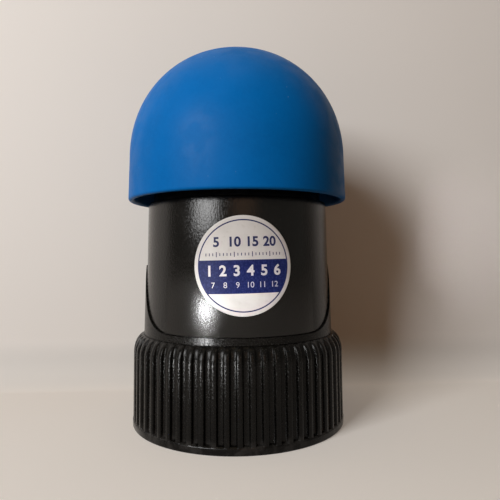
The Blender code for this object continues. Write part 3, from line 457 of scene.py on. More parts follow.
def core_outline():
    heights = [SHOULDER_TOP + (EAR_TOP - SHOULDER_TOP) * i / EAR_ROWS for i in range(EAR_ROWS + 1)]
    return [
        (SKIRT_OUTER_RADIUS, CORE_RECESS),
        (SKIRT_OUTER_RADIUS, RING_BACK_LEVEL),
        (COLLAR_RADIUS, SHOULDER_TOP - COLLAR_ROOT),
        *[(ear_radius(height), height) for height in heights],
        (POCKET_RADIUS, EAR_TOP),
        (POCKET_RADIUS, DECK_TOP),
        (DECK_HOLE_RADIUS, DECK_TOP),
        (DECK_HOLE_RADIUS, SOCKET_DEPTH),
        (SOCKET_RADIUS, SOCKET_DEPTH),
        (SOCKET_RADIUS, SOCKET_CHAMFER),
        (SOCKET_RADIUS + SOCKET_CHAMFER, 0),
        (SOCKET_OUTER_RADIUS, 0),
        (SOCKET_OUTER_RADIUS, MOAT_TOP),
        (SKIRT_INNER_RADIUS, MOAT_TOP),
        (SKIRT_INNER_RADIUS, CORE_RECESS),
    ]


def base_core():
    """Collar, ears, deck, socket and webs of the base, behind the ribbed skin."""
    core = turned("base_core", core_outline())
    near, far = SOCKET_OUTER_RADIUS - WEB_ROOT, SKIRT_INNER_RADIUS + WEB_ROOT
    top = MOAT_TOP + WEB_ROOT
    outline = [(near, WEB_RECESS), (far, WEB_RECESS), (far, top), (near, top)]
    webs = [plate("web", outline, WEB_THICKNESS, turn) for turn in spread(WEB_COUNT, WEB_START)]
    combine(core, "UNION", webs)
    cutters = []
    for middle in (-math.pi / 2, math.pi / 2):
        through = window_levels(EAR_TOP + OVERCUT, 0, lambda height: POCKET_RADIUS - OVERCUT)
        edge = window_levels(EAR_TOP + OVERCUT, -WINDOW_EDGE, lambda height: ear_radius(height) - WINDOW_EDGE)
        for levels in (through, edge):
            cutters.append(sector("window", levels, COLLAR_RADIUS + OVERCUT, middle, WINDOW_STEPS))
    combine(core, "DIFFERENCE", cutters)
    return smooth(core)


def socket_thread():
    """The ridge of the pipe thread in the socket, as a helix with a tapered start and end."""
    mesh = bmesh.new()
    turns = (THREAD_END - THREAD_START) / THREAD_PITCH
    count = int(turns * THREAD_STEPS)
    half_root = THREAD_PITCH / 2 * THREAD_ROOT_SHARE
    half_crest = THREAD_PITCH / 2 * THREAD_CREST
    rows = []
    for k in range(count + 1):
        angle = 2 * math.pi * k / THREAD_STEPS
        middle = THREAD_START + THREAD_PITCH * k / THREAD_STEPS
        fade = min(1, 2 * k / THREAD_STEPS, 2 * (count - k) / THREAD_STEPS)
        crest = SOCKET_RADIUS - THREAD_DEPTH * fade
        root = SOCKET_RADIUS + THREAD_ROOT
        section = ((root, -half_root), (crest, -half_crest), (crest, half_crest), (root, half_root))
        swell = max(fade, THREAD_RUNOUT)
        points = [(r * math.cos(angle), r * math.sin(angle), middle + z * swell) for r, z in section]
        rows.append([mesh.verts.new(point) for point in points])
    for one, other in zip(rows, rows[1:]):
        for i in range(4):
            j = (i + 1) % 4
            mesh.faces.new((one[i], one[j], other[j], other[i]))
    mesh.faces.new(rows[0])
    mesh.faces.new(rows[-1])
    return smooth(object_from("socket_thread", mesh))


# Barrel


def barrel_outline():
    edge_centre = (BARREL_TOP_RADIUS - BARREL_EDGE, BARREL_TOP - BARREL_EDGE)
    edge = arc(edge_centre, BARREL_EDGE, 0, math.pi / 2, EDGE_ROWS)
    lip_centre = (barrel_radius(PANEL_BOTTOM) - SEAM_GAP, PANEL_BOTTOM + SEAM_GAP)
    lip = arc(lip_centre, SEAM_GAP, -math.pi / 2, 0, EDGE_ROWS)
    orifice = (ORIFICE_RADIUS + ORIFICE_EDGE, PLATE_TOP - ORIFICE_EDGE)
    flange = (FLANGE_RADIUS - FIT_GAP, PLATE_TOP - FIT_GAP)
    return [
        (SPIGOT_BORE_RADIUS, NOSE_BOTTOM),
        (NOSE_RADIUS, NOSE_BOTTOM),
        (NOSE_RADIUS, SPIGOT_BOTTOM),
        (SPIGOT_RADIUS, SPIGOT_BOTTOM),
        (SPIGOT_RADIUS, PANEL_BOTTOM),
        *lip,
        *edge,
        (NECK_RADIUS, BARREL_TOP),
        (NECK_RADIUS, PLATE_BOTTOM),
        (FLANGE_RADIUS, PLATE_BOTTOM),
        *arc(flange, FIT_GAP, 0, math.pi / 2, EDGE_ROWS),
        *arc(orifice, ORIFICE_EDGE, math.pi / 2, math.pi, EDGE_ROWS),
        (ORIFICE_RADIUS, SEAT_BOTTOM),
        (ORIFICE_RADIUS + SEAT_WIDTH, SEAT_BOTTOM),
        (ORIFICE_RADIUS + SEAT_WIDTH, PLATE_BOTTOM),
        (NECK_BORE_RADIUS, PLATE_BOTTOM),
        (NECK_BORE_RADIUS, BARREL_TOP),
        (CHAMBER_RADIUS, BARREL_TOP - NECK_CONE_HEIGHT),
        (CHAMBER_RADIUS, CONE_END),
        (SPIGOT_BORE_RADIUS, CONE_START),
    ]


def barrel_shell():
    """The barrel, recessed at the sides for the ears and ribbed inside."""
    shell = turned("barrel_shell", barrel_outline())
    panel = window_levels(EAR_TOP + SEAM_GAP, SEAM_GAP, lambda height: SPIGOT_RADIUS)
    levels = [(PANEL_BOTTOM - OVERCUT, math.pi / 2 - panel[0][1], SPIGOT_RADIUS)]
    levels += [(height, math.pi / 2 - half, inner) for height, half, inner in panel]
    outer = COLLAR_RADIUS + OVERCUT
    recesses = [sector("recess", levels, outer, middle, EAR_STEPS) for middle in (0, math.pi)]
    combine(shell, "DIFFERENCE", recesses)
    root = CHAMBER_RADIUS + RIB_ROOT
    outline = [
        (root, GUIDE_RIB_START),
        (GUIDE_RIB_RADIUS, GUIDE_RIB_START + GUIDE_RIB_LEAD_IN),
        (GUIDE_RIB_RADIUS, GUIDE_RIB_TOP),
        (root, GUIDE_RIB_TOP),
    ]
    ribs = [plate("rib", outline, GUIDE_RIB_THICKNESS, turn) for turn in spread(GUIDE_RIB_COUNT, math.pi / 2)]
    combine(shell, "UNION", ribs)
    return smooth(shell)


# Dome cap


def crown(spring_radius, crown_height):
    """A slightly squared hemisphere, as (radius, height) points from its spring line to its pole."""
    points = []
    for k in range(DOME_ROWS + 1):
        turn = math.pi / 2 * k / DOME_ROWS
        radius = spring_radius * math.cos(turn) ** (2 / DOME_POWER)
        height = DOME_SPRING + crown_height * math.sin(turn) ** (2 / DOME_POWER)
        points.append((0 if k == DOME_ROWS else radius, height))
    return points


def shell_middle(height):
    """Radius of the middle of the dome's wall at a height."""
    spring = DOME_SPRING_RADIUS - DOME_WALL / 2
    if height <= DOME_SPRING:
        return spring
    rise = (height - DOME_SPRING) / (DOME_CROWN_HEIGHT - DOME_WALL / 2)
    return spring * (1 - rise**DOME_POWER) ** (1 / DOME_POWER)


def clip_outline():
    """One snap clip: a hook under the barrel's flange and a shelf that stands on its top plate."""
    hook = FLANGE_RADIUS - CLIP_REACH
    flange = FLANGE_RADIUS + FIT_GAP
    hook_top = PLATE_BOTTOM - FIT_GAP
    shelf = PLATE_TOP + FIT_GAP
    shelf_radius = FLANGE_RADIUS - CLIP_SHELF
    tail = hook_top - CLIP_HOOK_HEIGHT - CLIP_TAIL
    gusset_top = shelf + CLIP_SHELF_HEIGHT + CLIP_GUSSET
    heights = [gusset_top + (tail - gusset_top) * i / EAR_ROWS for i in range(EAR_ROWS + 1)]
    return [
        (flange, tail),
        (hook, hook_top - CLIP_HOOK_HEIGHT),
        (hook, hook_top),
        (flange, hook_top),
        (flange, shelf),
        (shelf_radius, shelf),
        (shelf_radius, shelf + CLIP_SHELF_HEIGHT),
        *[(shell_middle(height), height) for height in heights],
    ]


def dome_shell():
    inner_rim = DOME_RIM_RADIUS - DOME_WALL
    low = DOME_RIM_BOTTOM + DOME_EDGE
    outer = crown(DOME_SPRING_RADIUS, DOME_CROWN_HEIGHT)
    inner = crown(DOME_SPRING_RADIUS - DOME_WALL, DOME_CROWN_HEIGHT - DOME_WALL)
    rim = arc((inner_rim + DOME_EDGE, low), DOME_EDGE, math.pi, 3 * math.pi / 2, EDGE_ROWS)
    rim += arc((DOME_RIM_RADIUS - DOME_EDGE, low), DOME_EDGE, -math.pi / 2, 0, EDGE_ROWS)
    shell = turned("dome_shell", [*rim, *outer, *reversed(inner)])
    clips = [plate("clip", clip_outline(), CLIP_THICKNESS, turn) for turn in spread(CLIP_COUNT)]
    combine(shell, "UNION", clips)
    return smooth(shell)


# Label


def on_barrel(side, rise, offset):
    """A point of the label: side and rise from its centre along the barrel, offset out from it."""
    height = LABEL_CENTRE + side * math.sin(LABEL_TILT) + rise * math.cos(LABEL_TILT)
    across = side * math.cos(LABEL_TILT) - rise * math.sin(LABEL_TILT)
    radius = barrel_radius(height) + offset
    angle = LABEL_TURN + across / barrel_radius(LABEL_CENTRE)
    return radius * math.sin(angle), -radius * math.cos(angle), height


def label_disc():
    """The round sticker, wrapped on the barrel, with a rounded edge."""
    mesh = bmesh.new()
    top = LABEL_GAP + LABEL_THICKNESS
    edge = LABEL_THICKNESS / 2
    rings = [(LABEL_RADIUS * k / LABEL_RINGS, top) for k in range(1, LABEL_RINGS)]
    rings += [(LABEL_RADIUS - edge + reach, LABEL_GAP + edge + rise) for reach, rise in
              arc((0, 0), edge, math.pi / 2, -math.pi / 2, EDGE_ROWS)]
    rings += [(LABEL_RADIUS * k / LABEL_RINGS, LABEL_GAP) for k in range(LABEL_RINGS - 1, 0, -1)]
    loops = []
    for reach, offset in rings:
        points = [on_barrel(reach * math.cos(a), reach * math.sin(a), offset) for a in spread(LABEL_SPOKES)]
        loops.append([mesh.verts.new(point) for point in points])
    for one, other in zip(loops, loops[1:]):
        for i in range(LABEL_SPOKES):
            j = (i + 1) % LABEL_SPOKES
            mesh.faces.new((one[i], one[j], other[j], other[i]))
    for loop, offset in ((loops[0], top), (loops[-1], LABEL_GAP)):
        centre = mesh.verts.new(on_barrel(0, 0, offset))
        for i in range(LABEL_SPOKES):
            mesh.faces.new((loop[i], loop[(i + 1) % LABEL_SPOKES], centre))
    return smooth(object_from("label_disc", mesh), LABEL_SMOOTH_ANGLE)


def figure(words, size, weight, side, rise):
    """The mesh of plain figures in the label's plane."""
    curve = bpy.data.curves.new("figure", "FONT")
    curve.body = words
    curve.size = size
    curve.offset = size * weight
    curve.align_x = "CENTER"
    curve.align_y = "CENTER"
    curve.extrude = PRINT_HEIGHT / 2
    drawn = bpy.data.objects.new("figure", curve)
    bpy.context.scene.collection.objects.link(drawn)
    bpy.context.view_layer.update()
    evaluated = drawn.evaluated_get(bpy.context.evaluated_depsgraph_get())
    data = bpy.data.meshes.new_from_object(evaluated)
    data.transform(Matrix.Translation((side, rise, 0)))
    bpy.data.objects.remove(drawn, do_unlink=True)
    return data


def printed(name, figures, ticks):
    """Figures and ticks printed on the label, a hair proud of it."""
    mesh = bmesh.new()
    for words, size, weight, side, rise in figures:
        mesh.from_mesh(figure(words, size, weight, side, rise))
    for side, rise, height in ticks:
        place = Matrix.Translation((side, rise, 0)) @ Matrix.Diagonal((TICK_WIDTH, height, PRINT_HEIGHT, 1))
        bmesh.ops.create_cube(mesh, size=1, matrix=place)
    for vertex in mesh.verts:
        x, y, z = vertex.co
        vertex.co = on_barrel(x, y, z + LABEL_GAP + LABEL_THICKNESS + PRINT_HEIGHT / 2)
    return object_from(name, mesh)


def dark_print():
    """A plain scale: four numbers over a row of ticks."""
    numbers = []
    for k in range(SCALE_NUMBERS):
        words = str(TICKS_PER_NUMBER * (k + 1))
        side = (k - (SCALE_NUMBERS - 1) / 2) * SCALE_STEP
        numbers.append((words, SCALE_SIZE, FIGURE_WEIGHT, side, SCALE_RISE))
    ticks = []
    for k in TICKS:
        height = SMALL_TICK if (k + FIRST_LARGE_TICK) % TICKS_PER_NUMBER else LARGE_TICK
        ticks.append(((k + 0.5) * SCALE_STEP / TICKS_PER_NUMBER, TICK_RISE, height))
    return printed("label_scale", numbers, ticks)


def pale_print():
    """Plain numbers from 1 to 12 in two rows on the band."""
    numbers = []
    for k in range(BAND_COLUMNS):
        column = k - (BAND_COLUMNS - 1) / 2
        high, low = str(k + 1), str(k + 1 + BAND_COLUMNS)
        numbers.append((high, BAND_SIZE, FIGURE_WEIGHT, column * BAND_STEP, BAND_RISE))
        numbers.append((low, BAND_LOW_SIZE, 0, column * BAND_LOW_STEP, BAND_LOW_RISE))
    return printed("label_numbers", numbers, [])


# Materials


class Finish:
    """A node material in the making, on a Principled shader."""

    def __init__(self, name, **sockets):
        self.material = bpy.data.materials.new(name)
        self.material.use_nodes = True
        self.nodes = self.material.node_tree.nodes
        self.shader = self.nodes["Principled BSDF"]
        self.place = self.add("TexCoord").outputs["Object"]
        for socket, value in sockets.items():
            self.shader.inputs[socket.replace("_", " ").title().replace("Ior", "IOR")].default_value = value

    def add(self, kind, inputs=(), **settings):
        made = self.nodes.new("ShaderNode" + kind)
        for setting, value in settings.items():
            setattr(made, setting, value)
        for index, value in dict(inputs).items():
            self.feed(made.inputs[index], value)
        return made

    def feed(self, socket, value):
        """Sets a socket to a number or colour, or links it to another node's output."""
        if isinstance(value, bpy.types.NodeSocket):
            self.material.node_tree.links.new(value, socket)
        else:
            socket.default_value = value

    def math(self, operation, one, other=0.0, third=0.0):
        made = self.add("Math", {0: one, 1: other, 2: third}, operation=operation)
        return made.outputs[0]

    def stretched(self, scale):
        return self.add("Mapping", {"Vector": self.place, "Scale": scale}).outputs[0]

    def noise(self, scale, detail=4.0, place=None):
        inputs = {"Vector": place or self.place, "Scale": scale, "Detail": detail}
        return self.add("TexNoise", inputs).outputs[0]

    def between(self, value, low, high, to_low=0.0, to_high=1.0):
        """Maps low to high onto a new range along a smooth step."""
        inputs = {0: value, 1: low, 2: high, 3: to_low, 4: to_high}
        return self.add("MapRange", inputs, interpolation_type="SMOOTHSTEP").outputs[0]

    def mix(self, share, one, other):
        made = self.add("Mix", {0: share, 6: one, 7: other}, data_type="RGBA")
        return made.outputs[2]

    def specks(self, scale, size, share):
        """Small round specks in a share of the cells of a lattice."""
        cells = self.add("TexVoronoi", {"Vector": self.place, "Scale": scale})
        near = self.between(cells.outputs["Distance"], size * 0.6, size, 1.0, 0.0)
        pick = self.add("SeparateColor", {0: cells.outputs["Color"]}).outputs[0]
        return self.math("MULTIPLY", near, self.math("LESS_THAN", pick, share))

    def colour(self, value):
        self.feed(self.shader.inputs["Base Color"], value)

    def roughness(self, value):
        self.feed(self.shader.inputs["Roughness"], value)

    def bump(self, height, depth, strength=1.0):
        """Adds a bump of the given depth in metres on top of those before it."""
        made = self.add("Bump", {"Height": height, "Distance": depth, "Strength": strength})
        below = self.shader.inputs["Normal"]
        if below.is_linked:
            self.feed(made.inputs["Normal"], below.links[0].from_socket)
        self.feed(below, made.outputs[0])


def tint(red, green, blue):
    return red, green, blue, 1.0


def height_of(finish):
    return finish.add("SeparateXYZ", {0: finish.place}).outputs[2]


def facing_up(finish):
    normal = finish.add("NewGeometry").outputs["Normal"]
    return finish.add("SeparateXYZ", {0: normal}).outputs[2]


def blue_cap_finish():
    """Satin blue polypropylene with a faint orange peel, handling marks and specks of dust."""
    finish = Finish("blue_polypropylene_skin", ior=1.49, specular_ior_level=0.09)
    patches = finish.between(finish.noise(45), 0.3, 0.7)
    body = finish.mix(patches, tint(0.000, 0.132, 0.440), tint(0.000, 0.148, 0.490))
    grain = finish.between(finish.noise(900, 2), 0.35, 0.65)
    body = finish.mix(finish.math("MULTIPLY", grain, 0.22), body, tint(0.000, 0.168, 0.530))
    dust = finish.specks(420, 0.09, 0.16)
    lint = finish.between(finish.noise(90, 2), 0.42, 0.6)
    above = finish.between(facing_up(finish), -0.1, 0.9, 0.25, 1.0)
    dust = finish.math("MULTIPLY", finish.math("MULTIPLY", dust, lint), above)
    finish.colour(finish.mix(finish.math("MULTIPLY", dust, 0.65), body, tint(0.42, 0.56, 0.70)))
    marks = finish.between(finish.noise(160, 6), 0.35, 0.7)
    finish.roughness(finish.between(marks, 0, 1, 0.42, 0.54))
    finish.bump(finish.noise(700, 3), 0.03 * MM, 0.35)
    finish.bump(finish.noise(3500, 2), 0.01 * MM, 0.35)
    return finish.material


def barrel_finish():
    """Semi-gloss black nylon with an upright grain, rubbed patches and pale specks."""
    finish = Finish("glossy_black_nylon_skin", ior=1.53, specular_ior_level=0.27)
    grain = finish.noise(1, 3, finish.stretched((2100, 2100, 800)))
    rubbed = finish.noise(1, 4, finish.stretched((190, 190, 80)))
    patches = finish.between(rubbed, 0.35, 0.7)
    body = finish.mix(patches, tint(0.0026, 0.0023, 0.0019), tint(0.0044, 0.0039, 0.0033))
    body = finish.mix(finish.between(grain, 0.52, 0.72, 0, 0.6), body, tint(0.010, 0.0093, 0.0083))
    specks = finish.specks(700, 0.12, 0.08)
    finish.colour(finish.mix(finish.math("MULTIPLY", specks, 0.5), body, tint(0.060, 0.056, 0.052)))
    streaks = finish.between(grain, 0.35, 0.65, 0.12, 0.2)
    finish.roughness(finish.math("ADD", streaks, finish.between(rubbed, 0.4, 0.7, 0.0, 0.04)))
    finish.bump(grain, 0.08 * MM, 0.9)
    finish.bump(finish.noise(5000, 1), 0.004 * MM, 0.4)
    return finish.material


def base_finish():
    """Matte black nylon, mottled and grainy, paler and smoother along the foot, where the paler tint is
    partly wear and partly a painted sheen.
    """
    finish = Finish("black_nylon_skin", ior=1.53, specular_ior_level=0.15)
    blotches = finish.between(finish.noise(110), 0.35, 0.65)
    body = finish.mix(blotches, tint(0.0014, 0.0012, 0.0010), tint(0.0030, 0.0027, 0.0023))
    grain = finish.noise(1500, 5)
    body = finish.mix(finish.between(grain, 0.5, 0.72, 0, 0.5), body, tint(0.009, 0.0084, 0.0077))
    height = height_of(finish)
    # Paler tint along the foot: partly wear, partly a painted sheen.
    low = finish.between(height, 2.6 * MM, 5.5 * MM, 1.0, 0.0)
    foot_wear_and_sheen = finish.math("MULTIPLY", low, finish.between(finish.noise(260, 6), 0.42, 0.62))
    finish.colour(finish.mix(finish.math("MULTIPLY", foot_wear_and_sheen, 0.5), body, tint(0.040, 0.038, 0.036)))
    dull = finish.between(grain, 0.35, 0.65, 0.22, 0.34)
    finish.roughness(finish.math("SUBTRACT", dull, finish.math("MULTIPLY", foot_wear_and_sheen, 0.16)))
    finish.bump(grain, 0.03 * MM, 0.5)
    finish.bump(finish.noise(5200, 2), 0.01 * MM, 0.5)
    return finish.material


def foam_finish():
    """White foamed polypropylene, with its beads showing faintly."""
    finish = Finish("white_foam_skin", ior=1.49, specular_ior_level=0.4)
    beads = finish.add("TexVoronoi", {"Vector": finish.place, "Scale": 520.0}).outputs["Distance"]
    body = finish.mix(finish.between(beads, 0.1, 0.6), tint(0.74, 0.74, 0.70), tint(0.66, 0.66, 0.62))
    stains = finish.between(finish.noise(80, 5), 0.5, 0.75, 0, 0.35)
    finish.colour(finish.mix(stains, body, tint(0.56, 0.53, 0.45)))
    finish.roughness(finish.between(finish.noise(600), 0.3, 0.7, 0.55, 0.75))
    finish.bump(beads, 0.06 * MM, 0.5)
    return finish.material


def grey_finish():
    """Satin grey glass-filled nylon, flecked with its fibres."""
    finish = Finish("grey_nylon_skin", ior=1.53, specular_ior_level=0.5)
    flow = finish.between(finish.noise(140, 5), 0.35, 0.65)
    body = finish.mix(flow, tint(0.165, 0.166, 0.172), tint(0.200, 0.200, 0.205))
    flecks = finish.between(finish.noise(2200, 3), 0.58, 0.7, 0, 0.5)
    finish.colour(finish.mix(flecks, body, tint(0.30, 0.30, 0.31)))
    finish.roughness(finish.between(finish.noise(500), 0.3, 0.7, 0.38, 0.52))
    finish.bump(finish.noise(1800, 3), 0.02 * MM, 0.4)
    return finish.material


def rubber_finish():
    """Moulded black rubber with a faint bloom."""
    finish = Finish("black_rubber_skin", ior=1.52, specular_ior_level=0.35)
    bloom = finish.between(finish.noise(240, 6), 0.4, 0.7)
    finish.colour(finish.mix(bloom, tint(0.014, 0.014, 0.014), tint(0.036, 0.036, 0.037)))
    finish.roughness(finish.between(bloom, 0, 1, 0.62, 0.82))
    finish.bump(finish.noise(2600, 3), 0.02 * MM, 0.5)
    return finish.material


def steel_finish():
    """Cold-headed stainless steel with fine turning marks."""
    finish = Finish("stainless_skin", metallic=1.0)
    marks = finish.noise(1, 4, finish.stretched((900, 900, 9000)))
    tone = finish.between(marks, 0.35, 0.65)
    finish.colour(finish.mix(tone, tint(0.50, 0.50, 0.49), tint(0.64, 0.64, 0.63)))
    finish.roughness(finish.between(marks, 0.3, 0.7, 0.22, 0.38))
    finish.bump(marks, 0.01 * MM, 0.3)
    return finish.material


def ink_finish(name, ink):
    """Screen-printed ink, a little uneven."""
    finish = Finish(name, ior=1.49, specular_ior_level=0.4)
    wear = finish.between(finish.noise(1800, 4), 0.45, 0.75, 0, 0.35)
    finish.colour(finish.mix(wear, tint(*ink), tint(*[0.7 * part + 0.08 for part in ink])))
    finish.roughness(finish.between(wear, 0, 0.35, 0.40, 0.55))
    finish.bump(finish.noise(3000, 2), 0.005 * MM, 0.4)
    return finish.material


def label_finish():
    """Off-white film with a thin ring and a dark band printed on it."""
    finish = Finish("label_film", ior=1.49, specular_ior_level=0.2)
    parts = finish.add("SeparateXYZ", {0: finish.place})
    x, y, z = (parts.outputs[i] for i in range(3))
    around = finish.math("ARCTAN2", x, finish.math("MULTIPLY", y, -1.0))
    around = finish.math("SUBTRACT", around, LABEL_TURN)
    across = finish.math("MULTIPLY", around, barrel_radius(LABEL_CENTRE))
    up = finish.math("SUBTRACT", z, LABEL_CENTRE)
    sine, cosine = math.sin(LABEL_TILT), math.cos(LABEL_TILT)
    rise = finish.math("SUBTRACT", finish.math("MULTIPLY", up, cosine), finish.math("MULTIPLY", across, sine))
    squares = [finish.math("POWER", part, 2) for part in (across, up)]
    reach = finish.math("SQRT", finish.math("ADD", *squares))
    line = LABEL_RADIUS - LABEL_LINE_INSET
    away = finish.math("ABSOLUTE", finish.math("SUBTRACT", reach, line))
    half = LABEL_LINE_WIDTH / 2
    ring = finish.between(away, half - PRINT_BLUR, half + PRINT_BLUR, 1.0, 0.0)
    inside = finish.between(reach, line - PRINT_BLUR, line + PRINT_BLUR, 1.0, 0.0)
    above = finish.between(rise, LABEL_BAND_BOTTOM - PRINT_BLUR, LABEL_BAND_BOTTOM + PRINT_BLUR)
    below = finish.between(rise, LABEL_BAND_TOP - PRINT_BLUR, LABEL_BAND_TOP + PRINT_BLUR, 1.0, 0.0)
    band = finish.math("MULTIPLY", finish.math("MULTIPLY", above, below), inside)
    aged = finish.between(finish.noise(140, 6), 0.4, 0.7)
    film = finish.mix(aged, tint(*FILM_WHITE), tint(0.63, 0.61, 0.585))
    grime = finish.math("MULTIPLY", finish.between(finish.noise(600, 6), 0.55, 0.75), 0.25)
    film = finish.mix(grime, film, tint(0.45, 0.41, 0.36))
    ink_wear = finish.between(finish.noise(1400, 5), 0.4, 0.75)
    ink = finish.mix(ink_wear, tint(*INK_BLUE), tint(0.020, 0.030, 0.140))
    finish.colour(finish.mix(finish.math("MAXIMUM", ring, band), film, ink))
    finish.roughness(finish.between(finish.noise(300, 5), 0.3, 0.7, 0.38, 0.52))
    finish.bump(finish.noise(900, 3), 0.01 * MM, 0.4)
    return finish.material


def coat(piece, material):
    piece.data.materials.clear()
    piece.data.materials.append(material)
    for polygon in piece.data.polygons:
        polygon.material_index = 0
    return piece


def recoat(node, material):
    """Gives a CAD node its finish and slightly rounded edges. Its own mesh stays as it is."""
    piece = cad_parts[node]
    for slot in piece.material_slots:
        slot.material = material
    weld = piece.modifiers.new("weld", "WELD")
    weld.merge_threshold = KEPT_WELD
    edge = piece.modifiers.new("edge", "BEVEL")
    edge.width = KEPT_EDGE
    edge.segments = 2
    edge.limit_method = "ANGLE"
    edge.angle_limit = KEPT_EDGE_ANGLE
    edge.harden_normals = False


# Pieces


def dress():
    base = base_finish()
    barrel = barrel_finish()
    rubber = rubber_finish()
    grey = grey_finish()
    steel = steel_finish()
    foam = foam_finish()
    pieces = [
        (coat(base_grip(), base), "ribbed_base", "black_nylon"),
        (coat(base_core(), base), "ribbed_base", "black_nylon"),
        (coat(socket_thread(), base), None, "black_nylon"),
        (coat(barrel_shell(), barrel), "barrel", "glossy_black_nylon"),
        (coat(dome_shell(), blue_cap_finish()), "dome_cap", "blue_polypropylene"),
        (coat(label_disc(), label_finish()), "front_label", "white_label"),
        (coat(dark_print(), ink_finish("dark_ink", INK_BLUE)), "front_label", "white_label"),
        (coat(pale_print(), ink_finish("pale_ink", FILM_WHITE)), "front_label", "white_label"),
    ]
    for piece, node, slot in pieces:
        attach(piece, "housing")
        if node:
            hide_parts(node)
    kept = {
        "float_rest": base,
        "body_o_ring": rubber,
        "plug_disc": grey,
        "plug_seal": rubber,
        "seal_retainer": grey,
        "rolling_seal": rubber,
        "bar_clamp": grey,
        "float": foam,
        "clamping_stem": grey,
        "stem_clamp": grey,
    }
    for node, material in kept.items():
        recoat(node, material)
    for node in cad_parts:
        if "screw" in node:
            recoat(node, steel)


dress()


# Stage, lights and camera

FLOOR_REACH = 3.0
WALL_DISTANCE = 68.0 * MM
WALL_BEND = 24.0 * MM
BEND_ROWS = 24
WALL_TOP = 1.2
WALL_SIDE = 1.6
BACKDROP = tint(0.87, 0.84, 0.80)
# Painted shade: darker paper for the bend, against the extra light that falls on it.
BEND_PAINTED_SHADE = tint(0.66, 0.64, 0.61)
SKY = tint(0.30, 0.28, 0.25)
BOUNCE = tint(0.26, 0.20, 0.15)
# Painted light: the glow of the paper's upward faces, seen by the camera and in reflections.
FLOOR_GLOW = tint(0.14, 0.13, 0.12)
ROOM = tint(0.030, 0.020, 0.013)


def slopes(finish):
    """How far a surface faces up, and how far it is into the bend, which faces the light the most."""
    normal = finish.add("SeparateXYZ", {0: finish.add("NewGeometry").outputs["Normal"]})
    depth, height = (finish.math("ABSOLUTE", normal.outputs[i]) for i in (1, 2))
    return height, finish.between(finish.math("ADD", depth, height), 1.0, math.sqrt(2))


def backdrop_material(name, one_sided):
    """Pale matte paper that throws little light back, with its bend painted darker as painted shade and its
    upward faces glowing faintly to the camera and in reflections as painted light; seen from behind, the
    one-sided sort is clear.
    """
    finish = Finish(name)
    tone = finish.between(finish.noise(6, 3), 0.35, 0.65)
    paper = finish.mix(tone, BACKDROP, tint(0.855, 0.825, 0.785))
    level, bend = slopes(finish)
    # Painted shade: the bend, which faces the light the most, is painted darker so the backdrop looks even.
    paper = finish.mix(bend, paper, BEND_PAINTED_SHADE)
    lit = finish.add("LightPath").outputs["Is Diffuse Ray"]
    finish.colour(finish.mix(lit, paper, BOUNCE))
    # Painted light: upward faces glow faintly for the camera and in reflections, which also lightens the
    # object's shadow on the floor.
    finish.feed(finish.shader.inputs["Emission Color"], FLOOR_GLOW)
    seen = finish.math("SUBTRACT", 1.0, lit)
    glow = finish.math("MULTIPLY", finish.math("POWER", level, 2), seen)
    finish.feed(finish.shader.inputs["Emission Strength"], glow)
    finish.roughness(0.9)
    finish.bump(finish.noise(900, 3), 0.02 * MM, 0.3)
    if one_sided:
        output = finish.nodes["Material Output"]
        behind = finish.add("NewGeometry").outputs["Backfacing"]
        clear = finish.add("BsdfTransparent").outputs[0]
        choice = finish.add("MixShader", {0: behind, 1: finish.shader.outputs[0], 2: clear})
        finish.feed(output.inputs["Surface"], choice.outputs[0])
    return finish.material


def sheet_of(name, rows, side, material):
    """A stage sheet from (depth, height) rows, stretched from side to side."""
    mesh = bmesh.new()
    loops = [[mesh.verts.new((x, y, z)) for x in (-side, side)] for y, z in rows]
    for one, other in zip(loops, loops[1:]):
        mesh.faces.new((one[0], one[1], other[1], other[0]))
    data = bpy.data.meshes.new(name)
    mesh.to_mesh(data)
    mesh.free()
    data.shade_smooth()
    data.materials.append(material)
    made = bpy.data.objects.new(name, data)
    bpy.context.scene.collection.objects.link(made)


def lamp(name, place, aim, size, power, colour=(1, 1, 1), cone=180):
    light = bpy.data.lights.new(name, "AREA")
    light.shape = "RECTANGLE"
    light.size, light.size_y = size
    light.energy = power
    light.color = colour
    light.spread = cone * DEGREE
    made = bpy.data.objects.new(name, light)
    made.location = place
    made.rotation_euler = (Vector(aim) - Vector(place)).to_track_quat("-Z", "Y").to_euler()
    made.visible_camera = False
    bpy.context.scene.collection.objects.link(made)


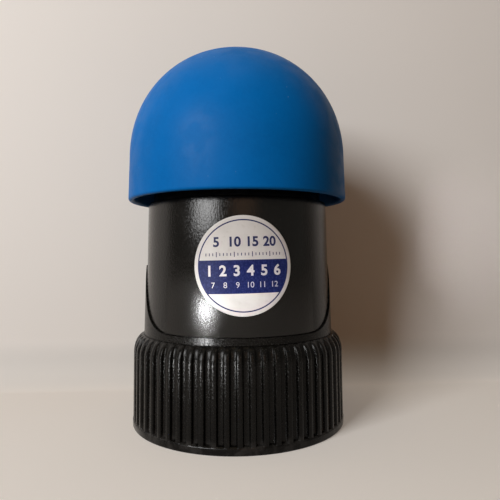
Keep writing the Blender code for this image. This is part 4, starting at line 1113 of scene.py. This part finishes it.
def sky():
    """A dim warm room round the object, which shows paler to the camera and in reflections."""
    world = bpy.data.worlds.new("studio")
    world.use_nodes = True
    bpy.context.scene.world = world
    nodes, links = world.node_tree.nodes, world.node_tree.links
    rays = nodes.new("ShaderNodeLightPath").outputs
    seen = rays["Is Camera Ray"]
    for other in ("Is Glossy Ray", "Is Transmission Ray"):
        either = nodes.new("ShaderNodeMath")
        either.operation = "MAXIMUM"
        links.new(seen, either.inputs[0])
        links.new(rays[other], either.inputs[1])
        seen = either.outputs[0]
    tone = nodes.new("ShaderNodeMix")
    tone.data_type = "RGBA"
    tone.inputs[6].default_value = ROOM
    tone.inputs[7].default_value = SKY
    links.new(seen, tone.inputs[0])
    links.new(tone.outputs[2], nodes["Background"].inputs["Color"])


def stage():
    centre = (WALL_DISTANCE - WALL_BEND, WALL_BEND)
    bend = arc(centre, WALL_BEND, -math.pi / 2, 0, BEND_ROWS)
    paper = backdrop_material("backdrop_paper", True)
    sheet_of("backdrop", [*bend, (WALL_DISTANCE, WALL_TOP)], WALL_SIDE, paper)
    floor = [(-FLOOR_REACH, 0), (FLOOR_REACH, 0)]
    sheet_of("floor", floor, FLOOR_REACH, backdrop_material("floor_paper", False))


def lights():
    lamp("key", (-0.590, -0.655, 0.430), (0, 0, 0.07), (0.4, 0.4), 7.4)
    lamp("low", (-0.141, -0.188, 0.0105), (-0.009, -0.038, 0.045), (0.06, 0.016), 0.0065, cone=16)
    lamp("top", (-0.1, -0.1, 1.5), (0, 0, 0.08), (0.6, 0.6), 1.65, (1, 0.78, 0.48))
    lamp("front", (0.1, -1.2, 0.6), (0, 0, 0.08), (0.6, 0.6), 0.85, (1, 0.52, 0.28))


def camera():
    data = bpy.data.cameras.new("camera")
    data.sensor_width = SENSOR_WIDTH
    data.lens = FOCAL_PIXELS / PHOTO_SIDE * SENSOR_WIDTH
    data.clip_start = CAMERA_NEAR
    made = bpy.data.objects.new("camera", data)
    bpy.context.scene.collection.objects.link(made)
    made.matrix_world = (
        Matrix.Rotation(-CAMERA_AZIMUTH, 4, "Z")
        @ Matrix.Translation((CAMERA_SIDE, -CAMERA_DISTANCE, CAMERA_HEIGHT))
        @ Matrix.Rotation(math.pi / 2 + CAMERA_PITCH, 4, "X")
        @ Matrix.Rotation(CAMERA_ROLL, 4, "Z")
    )
    bpy.context.scene.camera = made


stage()
lights()
sky()
camera()
bpy.context.scene.view_settings.view_transform = "Standard"
